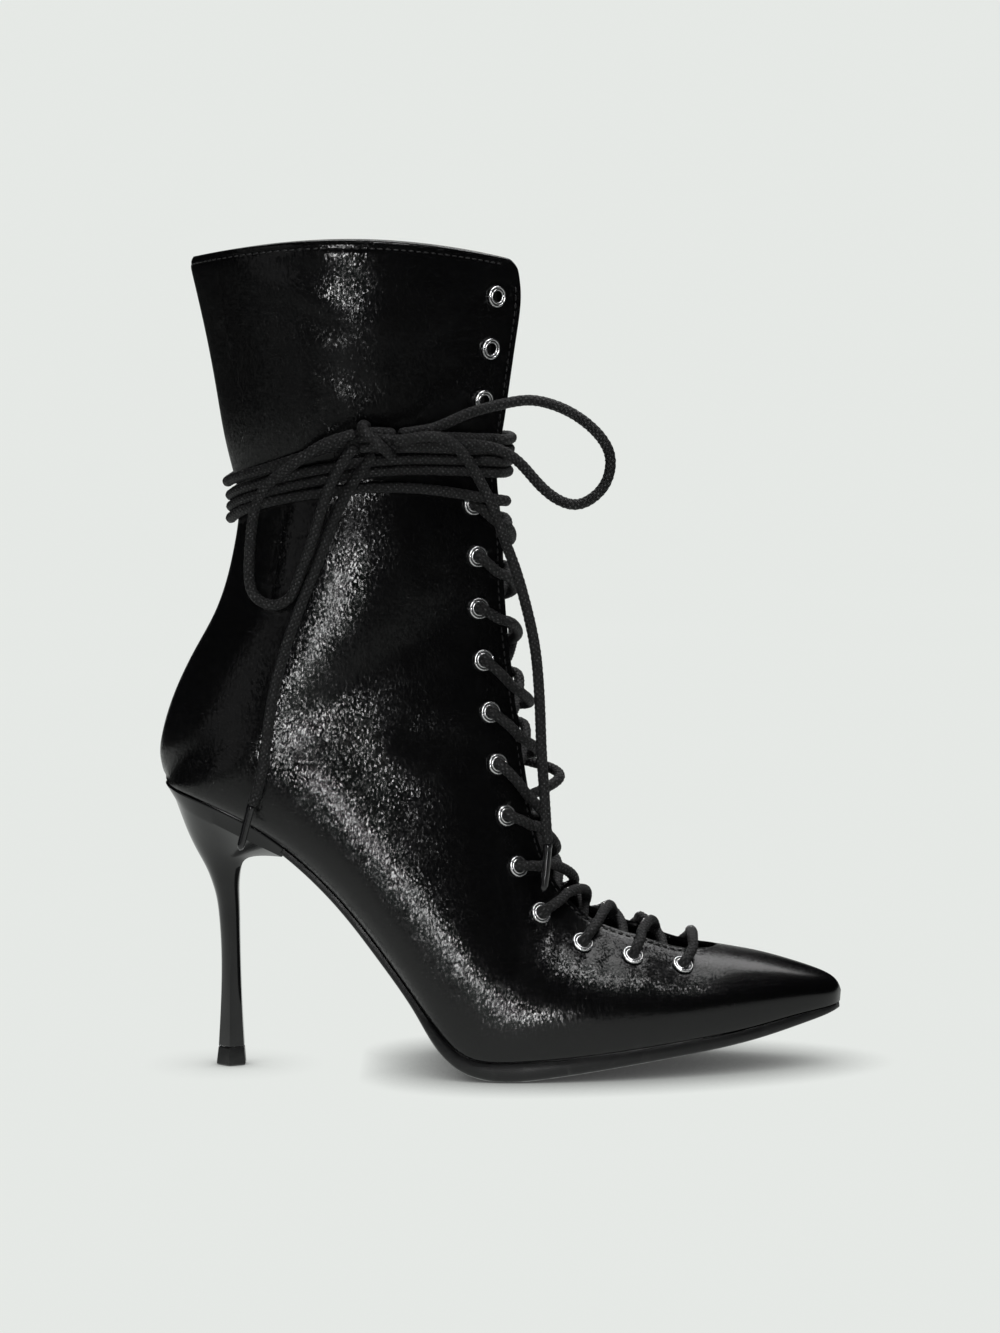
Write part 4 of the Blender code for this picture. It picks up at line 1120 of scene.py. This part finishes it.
def braidTube(route, radius, girth=None):
    points, run = evenRoute(route, cord["step"])
    ahead = unit(np.gradient(points, axis=0))
    side = unit(np.cross(ahead[0], (0.3, 0.9, 0.2)))  # any direction to start from, carried along the route
    sides = []
    for direction in ahead:
        side = unit(side - direction * (side @ direction))
        sides.append(side)
    sides = np.array(sides)
    others = np.cross(ahead, sides)
    turn = evenTurns(cord["sides"])
    weave = np.zeros((len(points), cord["sides"]))
    if girth is None:
        around = laceLook["strands"] * turn / (2 * math.pi)
        pitch = run[:, None] / laceLook["braid"]
        weave = np.abs(np.sin(math.pi * (around + pitch)) * np.sin(math.pi * (around - pitch)))
        girth = np.ones(len(points))
    else:
        girth = girth(run / run[-1])
    width = radius * girth[:, None] * (1 + cord["relief"] * (weave - 0.5))
    ends = np.minimum(np.minimum(run, run[-1] - run) / radius, 1)
    width = width * np.sqrt(np.maximum(1 - (1 - ends) ** 2, cord["tip"]))[:, None]
    ring = sides[:, None] * np.cos(turn)[None, :, None] + others[:, None] * np.sin(turn)[None, :, None]
    return points, points[:, None] + ring * width[..., None], run


def cordPiece(name, routes, finish, radius=None, girth=None):
    verts, faces, uvs, paths = [], [], [], []
    count = cord["sides"]
    for route in routes:
        points, rings, run = braidTube(route, radius or cord["radius"], girth)
        paths.append(toWorld(points))
        first = len(verts)
        verts += list(toWorld(rings.reshape(-1, 3)))
        faces += ringFaces(first, len(rings), count)
        for here, there in zip(run[:-1], run[1:]):
            for j in range(count):
                near, far = j / count, (j + 1) / count
                uvs += [(here, near), (here, far), (there, far), (there, near)]
        for i, flip in ((0, -1), (len(rings) - 1, 1)):
            faces.append(tuple(first + i * count + j for j in range(count))[::flip])
            uvs += [(run[i], 0.5)] * count
    piece = newPiece(name, verts, faces, finish)
    layer = piece.data.uv_layers.new(name="braid")
    layer.data.foreach_set("uv", np.array(uvs, float).ravel())
    return piece, paths


# Lacing: each strand leaves its eyelet outwards, goes over its own throat edge and under the other flap
# to the next eyelet down. Columns: where it meets its edge and the middle as a share of the way down, slack
lacing = {
    "pairs": 12,
    "lateral": {12: (0.5, 0.8, 2.6), 11: (0.45, 0.75, 3.0), 10: (0.35, 0.66, 3.0), 9: (0.69, 1.0, 4.4),
                8: (0.65, 0.97, 5.0), 7: (0.9, 1.3, 3.6), 6: (0.42, 1.0, 4.4), 5: (0.3, 0.9, 4.8),
                4: (0.24, 0.6, 4.8), 3: (0.25, 0.42, 4.8), 2: (0.22, 0.4, 4.2)},
    "medial": {12: (0.5, 0.9, -0.9), 11: (0.4, 0.7, -0.6), 10: (0.6, 1.06, -0.9), 9: (0.6, 1.1, -0.9),
               8: (0.6, 1.08, -0.8), 7: (0.25, 0.56, 11.5), 6: (0.45, 0.8, -0.4), 5: (0.4, 0.7, 0.0),
               4: (0.4, 0.7, 0.2), 3: (0.4, 0.7, 0.4), 2: (0.2, 0.6, -0.2)},
    "bar": 4.0, "barDrop": 0.12, "barClearance": (0.6, 1.2), "bore": (-4.2, -1.2, 1.4),
    "overEdge": 0.5, "underFlap": 0.5, "deeper": 0.8, "search": (1.5, 2.5, 5.3),
    # shares of the way to the edge and inwards, clearance
    "overFlap": ((0.4, 0.36, 0.9), (0.74, 0.72, 0.35)),
}


def throatMiddle(s, ahead):
    return (skin(s, lateral, 1) + skin(s, medial, 1)) / 2 + throatFront(s) * ahead


def boreThrough(side, level):
    s, a = places[side][level - 1]
    return [overSkin(s, side, a, height) for height in lacing["bore"]]


# Station on the line of one share round the section, part of the way to the next eyelet down
def rowStation(side, level, part, a):
    start, end = eyeletSpots[side][level - 1], eyeletSpots[side][level - 2]
    run = end - start
    above, below, lowest = lacing["search"]
    upperEnd, lowerEnd = places[side][level - 1][0] + above, places[side][level - 2][0] - below
    s = np.linspace(upperEnd, max(lowerEnd, lowest), 160)
    return float(np.interp(part, ((skin(s, side, a) - start) @ run) / (run @ run), s))


def strandRoute(side, level):
    edgeAt, middleAt, slack = lacing["lateral" if side == lateral else "medial"][level]
    a = places[side][level - 1][1]
    sEnd, aEnd = places[-side][level - 2]
    radius = cord["radius"]
    route = []
    for part, inwards, clearance in lacing["overFlap"]:
        over = a + (1 - a) * inwards
        s = rowStation(side, level, part * edgeAt, over)
        route.append(overSkin(s, side, over, radius + clearance))
    route += [overEdge(rowStation(side, level, edgeAt, 1), side, radius + lacing["overEdge"]),
              throatMiddle(rowStation(side, level, middleAt, 1), slack)]
    under = -(upper["wall"] + radius + lacing["underFlap"])
    s = rowStation(-side, level, (middleAt + 1) / 2, 1)
    route += [overEdge(s, -side, 0) + skinNormal(s, -side, 1) * under - throatFront(s),
              overSkin((s + sEnd) / 2, -side, 1 - (1 - aEnd) * 0.5, under - lacing["deeper"])]
    return route


def lacingRoute(first):
    route = []
    side = first
    for level in range(lacing["pairs"], 1, -1):
        route += boreThrough(side, level) + strandRoute(side, level)
        side = -side
    return route + boreThrough(side, 1), side


def makeLacing():
    down, side = lacingRoute(lateral)
    up, otherSide = lacingRoute(medial)
    s, a = places[side][0]
    drop = s - lacing["barDrop"]
    half = a + (1 - a) * 0.5  # half way from the eyelet to the throat's edge
    onFlap, onEdge = (cord["radius"] + clearance for clearance in lacing["barClearance"])
    bar = [overSkin(drop, side, half, onFlap), overEdge(drop, side, onEdge),
           throatMiddle(drop, lacing["bar"]),
           overEdge(drop, otherSide, onEdge), overSkin(drop, otherSide, half, onFlap)]
    return dress(cordPiece("lacing", [down + bar + up[::-1]], waxedLace)[0], "lace", "lace_crossings")


# Wraps round the ankle: heights of each half turn at the back, three places along the side, and the front
wraps = {
    "stops": (-1, -0.5, 0, 0.5, 1),
    "lateral": {"low": (189.0, 196.3, 200.8, 200.6, 195.4), "middle": (193.2, 199.9, 206.0, 207.4, 205.4),
                "high": (197.3, 203.6, 209.6, 211.1, 209.3), "back": (202.3, 208.0, 217.6)},
    "second": ((0.14, 215.2), (0.5, 214.9), (1, 213.2)), "top": ((0.14, 217.4), (0.5, 218.6), (1, 217.1)),
    "medial": {"low": (189.0, 194.6, 200.0, 203.6, 205.4), "middle": (193.2, 198.6, 204.0, 207.6, 209.3),
               "high": (197.3, 202.6, 208.0, 211.6, 213.2), "top": (202.3, 207.2, 212.2, 215.6, 217.1)},
    "height": 2.3, "overEyelet": 1.0, "eyeletAt": 0.8, "eyeletSpread": 0.2, "perHalf": 13,
    "end": ((0.96, 4.0), (0.84, 4.6)), "endDip": -1.5,  # goes in under the medial flap
}


def stationAtHeight(side, a, z):
    s = np.linspace(last["heelClose"], last["collar"], 400)
    return float(np.interp(z, skin(s, side, a)[:, 2], s))


def wrapSpot(side, a, z):
    s = stationAtHeight(side, a, z)
    fromEyelet = (a - wraps["eyeletAt"]) / wraps["eyeletSpread"]
    height = wraps["height"] + wraps["overEyelet"] * math.exp(-fromEyelet ** 2)
    return overSkin(s, side, a, height) if a < 0.999 else overEdge(s, side, height)


# A half turn that goes on from another leaves out the spot they share
def halfTurn(side, stops, heights, forwards, goesOn=False):
    curve = SmoothTable(list(zip(stops, heights)))
    spots = []
    for share in np.linspace(0, 1, wraps["perHalf"]):
        a, z = curve.at(share * (len(stops) - 1))
        spots.append(wrapSpot(side, min(max(float(a), -1), 1), float(z)))
    if goesOn:
        spots = spots[1:]
    return spots if forwards else spots[::-1]


def makeWraps():
    stops, lines = wraps["stops"], wraps["lateral"]
    topTurn = halfTurn(lateral, stops[:3], lines["back"], False)
    topTurn += halfTurn(medial, stops, wraps["medial"]["top"], True, True)
    topTurn += halfTurn(lateral, *zip(*wraps["top"]), False)
    wound = halfTurn(lateral, *zip(*wraps["second"]), True)
    for turn in ("high", "middle", "low"):
        wound += halfTurn(medial, stops, wraps["medial"][turn], False)
        wound += halfTurn(lateral, stops, lines[turn], True, True)
    s = stationAtHeight(lateral, 1, lines["low"][-1])
    wound.append(throatMiddle(s, wraps["endDip"]))
    wound += [overSkin(s, medial, a, -(upper["wall"] + deep)) for a, deep in wraps["end"]]
    return dress(cordPiece("ankle_wraps", [topTurn, wound], waxedLace)[0], "lace", "lace_wraps")


makeLacing()
makeWraps()
print("lacing and wraps laid")

# Bow: routes of its loops and ends, listed point by point
bow = {
    "frontLoop": (
        (82.4, -39.6, 219.9), (89.0, -39.0, 220.8), (96.1, -38.2, 222.4), (105.5, -36.6, 226.4),
        (114.9, -35.2, 229.1), (124.3, -33.8, 230.8), (132.0, -32.8, 230.0), (140.2, -31.9, 226.7),
        (147.9, -31.2, 221.0), (152.6, -30.8, 214.6), (153.6, -30.6, 208.4), (151.6, -30.6, 202.1),
        (146.9, -30.7, 197.4), (141.2, -30.9, 195.7), (134.8, -31.3, 198.1), (129.1, -31.9, 203.1),
        (124.3, -32.7, 208.6), (119.6, -33.7, 212.6), (113.9, -35.0, 215.1), (106.0, -36.6, 216.2),
        (98.0, -38.0, 216.0), (90.0, -39.2, 215.6), (82.4, -40.2, 215.6)),
    "rearLoop": (
        (68.8, -40.4, 220.2), (63.5, -40.6, 218.6), (56.5, -40.4, 215.8), (48.6, -39.0, 210.4),
        (41.0, -36.6, 204.8), (36.0, -34.2, 198.6), (33.6, -32.4, 191.0), (32.6, -31.4, 182.0),
        (32.2, -31.0, 172.6), (34.0, -31.0, 165.2), (40.2, -31.4, 162.0), (46.2, -32.1, 165.0),
        (49.2, -33.3, 172.0), (52.1, -35.0, 179.6), (55.2, -37.4, 189.0), (58.0, -39.4, 198.2),
        (61.6, -40.6, 206.4), (65.4, -41.0, 212.4), (68.8, -41.0, 216.0)),
    "frontEnd": (
        (80.4, -43.8, 217.8), (86.0, -43.6, 218.4), (92.0, -43.0, 219.2), (98.0, -42.0, 218.4),
        (103.6, -40.6, 214.0), (107.6, -38.8, 208.0), (111.4, -36.4, 201.0), (114.8, -33.8, 193.4),
        (118.2, -31.4, 183.6), (121.6, -29.4, 174.4), (125.0, -28.0, 162.7), (128.0, -27.4, 149.3),
        (129.4, -27.2, 137.5), (130.1, -27.2, 125.4), (130.6, -27.2, 112.0), (131.4, -27.4, 99.8),
        (132.1, -27.8, 88.7), (132.7, -28.2, 80.0)),
    "rearEnd": (
        (74.0, -38.4, 213.6), (71.4, -37.4, 209.0), (67.8, -36.7, 204.0), (63.8, -36.4, 197.0),
        (60.2, -36.0, 189.2), (57.0, -34.8, 180.6), (53.4, -33.6, 171.4), (49.6, -32.9, 162.0),
        (46.2, -32.7, 153.0), (43.2, -32.8, 143.6), (40.8, -33.1, 134.2), (38.9, -33.5, 124.0),
        (37.6, -33.8, 113.6), (36.0, -33.8, 104.2), (34.2, -33.6, 97.6), (32.6, -33.4, 93.9)),
    "frontAglet": ((132.72, -28.15, 81.5), (132.7, -28.2, 79.6), (132.1, -28.6, 71.9), (131.2, -29.0, 64.2)),
    "rearAglet": ((32.9, -33.45, 95.0), (32.45, -33.4, 93.5), (30.6, -33.2, 86.3), (28.7, -33.0, 79.0)),
    "knotBands": (
        ((72.8, -36.2, 222.0), (70.8, -39.2, 222.8), (71.2, -42.8, 221.6), (73.6, -45.0, 219.2),
         (76.4, -45.2, 216.6), (78.8, -43.4, 214.2), (80.2, -40.2, 213.0), (79.6, -36.8, 213.6)),
        ((68.6, -37.8, 217.6), (71.4, -40.4, 218.6), (75.4, -41.6, 218.8), (79.6, -41.4, 218.2),
         (84.0, -39.6, 218.0)),
        ((68.4, -38.0, 220.0), (72.0, -40.2, 220.4), (76.6, -40.8, 220.4), (82.0, -39.8, 220.0)),
        ((69.4, -39.4, 215.0), (74.0, -41.2, 215.8), (79.0, -41.0, 216.0), (83.0, -39.6, 216.2))),
    "agletRadius": 1.5,
    "agletGirth": ((0, 1.16), (0.05, 1.18), (0.09, 1.02), (0.12, 1.12), (0.16, 1.0), (0.82, 0.97),
                   (0.93, 0.9), (1, 0.72)),
}


def agletGirth(share):
    return np.interp(share, *zip(*bow["agletGirth"]))


def makeBow():
    knot = cordPiece("bow_knot", [settled(band) for band in bow["knotBands"]], waxedLace)[0]
    dress(knot, "lace", "lace_knot")
    for key, name, node in (("frontAglet", "aglet_tip_front", "aglet_front"),
                            ("rearAglet", "aglet_tip_rear", "aglet_rear")):
        tip = cordPiece(name, [settled(bow[key])], agletPlastic, bow["agletRadius"], agletGirth)[0]
        dress(tip, "aglet", node)
    for key, name, node, farEnd, lay, tip in (
            ("frontLoop", "bow_loop_front", "lace_loop_front", "knot", "loose", None),
            ("rearLoop", "bow_loop_rear", "lace_loop_rear", "knot", "hanging", None),
            ("frontEnd", "lace_tail_front", "lace_end_front", "fitting", "hanging", "frontAglet"),
            ("rearEnd", "lace_tail_rear", "lace_end_rear", "fitting", "hanging", "rearAglet")):
        piece, paths = cordPiece(name, [settled(bow[key])], waxedLace)
        dress(piece, "lace", node)


makeBow()
print("bow tied")

# Stage: a pale floor that runs up into a backdrop.
# Gloss sees only a narrow glowing sheet of it, as beside black flags: a painted reflection of the floor
stage = {
    "colour": (0.79, 0.815, 0.79), "paper": 0.001, "glow": 1.0, "cloud": 3.0,
    "back": 2.1, "bend": 0.9, "bendSteps": 16, "top": 3.0, "sunk": 0.0002,
    # reach, power and colour of a painted contact shadow on the floor
    "contact": 0.028, "contactPower": 1.35, "paintedShadowColour": (0.04, 0.04, 0.04),
    "floor": {"left": -3.5, "right": 3.5, "front": -3.5},
    "sheet": {"left": -1.1, "right": 0.9, "front": -0.95, "glow": 0.78,
              "middle": -0.14, "beside": (0.15, 0.85), "ahead": (-0.9, 0.0), "fade": 1.3},
}


def sweepPiece(name, sides, finish):
    outline = [(sides["front"], 0.0), (stage["back"], 0.0)]
    for i in range(1, stage["bendSteps"] + 1):
        turn = math.pi / 2 * i / stage["bendSteps"]
        outline.append((stage["back"] + stage["bend"] * math.sin(turn), stage["bend"] * (1 - math.cos(turn))))
    outline.append((stage["back"] + stage["bend"], stage["top"]))
    verts = [(x, y, z - stage["sunk"]) for y, z in outline for x in (sides["left"], sides["right"])]
    faces = [(2 * i, 2 * i + 1, 2 * i + 3, 2 * i + 2) for i in range(len(outline) - 1)]
    piece = newPiece(name, verts, faces, finish)
    return piece


def makeBackdrop():
    finish, tree, shader, spot = newFinish("pale_paper", Roughness=0.9, Specular_IOR_Level=0.0,
                                           Emission_Strength=stage["glow"])
    cloud = noise(tree, spot, stage["cloud"])
    paper = blend(tree, cloud, tuple(c * 0.99 for c in stage["colour"]), stage["colour"])
    # the glow is darkened by ambient occlusion close to the boot: a painted contact shadow
    contact = addNode(tree, "ShaderNodeAmbientOcclusion", {"Distance": stage["contact"]}, samples=8)
    shade = maths(tree, "POWER", contact.outputs["AO"], stage["contactPower"])
    wire(tree, shader, Base_Color=blend(tree, cloud, (stage["paper"],) * 3, (stage["paper"] * 1.02,) * 3),
         Emission_Color=blend(tree, shade, stage["paintedShadowColour"], paper))
    sweepPiece("backdrop", stage["floor"], finish).visible_glossy = False


def makeGlossSheet():
    setup = stage["sheet"]
    finish, tree, shader, spot = newFinish("sheet_seen_in_gloss", Roughness=1.0, Base_Color=(0, 0, 0, 1),
                                           Specular_IOR_Level=0.0, Emission_Strength=setup["glow"])
    # the painted reflection is brightest in the middle and fades to black to the sides and to the front
    place = partsOf(tree, spot)
    fromMiddle = maths(tree, "ABSOLUTE", maths(tree, "SUBTRACT", place["X"], setup["middle"]))
    beside = remap(tree, fromMiddle, *setup["beside"], 1, 0)
    ahead = maths(tree, "POWER", remap(tree, place["Y"], *setup["ahead"], 0, 1), setup["fade"])
    inside = maths(tree, "MULTIPLY", beside, ahead)
    wire(tree, shader, Emission_Color=blend(tree, inside, (0, 0, 0), stage["colour"]))
    sheet = sweepPiece("gloss_sheet", setup, finish)
    sheet.visible_camera = sheet.visible_diffuse = sheet.visible_shadow = False


lights = {
    "overhead": {"place": (0.0, -0.1, 1.65), "aim": (0.0, 0.0, 0.1), "size": (1.4, 1.0), "watts": 14},
    "rearTop": {"place": (0.35, 0.85, 1.35), "aim": (0.03, 0.0, 0.05), "size": (1.1, 0.6), "watts": 6},
    "frontTop": {"place": (0.60, -0.76, 1.32), "aim": (0.03, 0.0, 0.05), "size": (0.26, 0.2), "watts": 2.4},
    "leftFill": {"place": (-1.5, -1.3, 0.25), "aim": (-0.05, 0.0, 0.15), "size": (1.1, 0.9), "watts": 0.7},
    "frontSoftbox": {"place": (-0.045, -1.8, 0.11), "aim": (-0.04, 0, 0.12), "size": (0.14, 0.18),
                     "watts": 4.3},
    "rearSoftbox": {"place": (-0.05, 1.7, 0.16), "aim": (-0.03, 0, 0.12), "size": (0.2, 0.24), "watts": 5.2},
    "steelCard": {"place": (-0.35, -1.5, 0.95), "aim": (0.0, 0, 0.12), "size": (1.2, 0.9), "watts": 14,
                  "only": "eyelet_ring"},
}
dimRoom = (0.004, 0.004, 0.0045)


# Pale to the camera, dim to everything else
def makeRoom():
    world = bpy.data.worlds.new("dim_room")
    world.use_nodes = True
    tree = world.node_tree
    seen = addNode(tree, "ShaderNodeLightPath").outputs["Is Camera Ray"]
    wire(tree, tree.nodes["Background"], Color=blend(tree, seen, dimRoom, stage["colour"]))
    bpy.context.scene.world = world


def makeLights():
    bpy.context.scene.view_settings.view_transform = "Standard"
    for name, setup in lights.items():
        data = bpy.data.lights.new(name, "AREA")
        data.shape = "RECTANGLE"
        data.size, data.size_y = setup["size"]
        data.energy = setup["watts"]
        lamp = bpy.data.objects.new(name, data)
        lamp.location = setup["place"]
        aim = Vector(setup["aim"]) - Vector(setup["place"])
        lamp.rotation_euler = aim.to_track_quat("-Z", "Y").to_euler()
        lamp.visible_camera = False
        bpy.context.scene.collection.objects.link(lamp)
        if "only" in setup:  # a card held so that only these pieces catch it
            lit = bpy.data.collections.new(name)
            for piece in bpy.data.objects:
                if piece.name.startswith(setup["only"]):
                    lit.objects.link(piece)
            lamp.light_linking.receiver_collection = lit


makeRoom()
makeBackdrop()
makeGlossSheet()
makeLights()
print("stage lit")
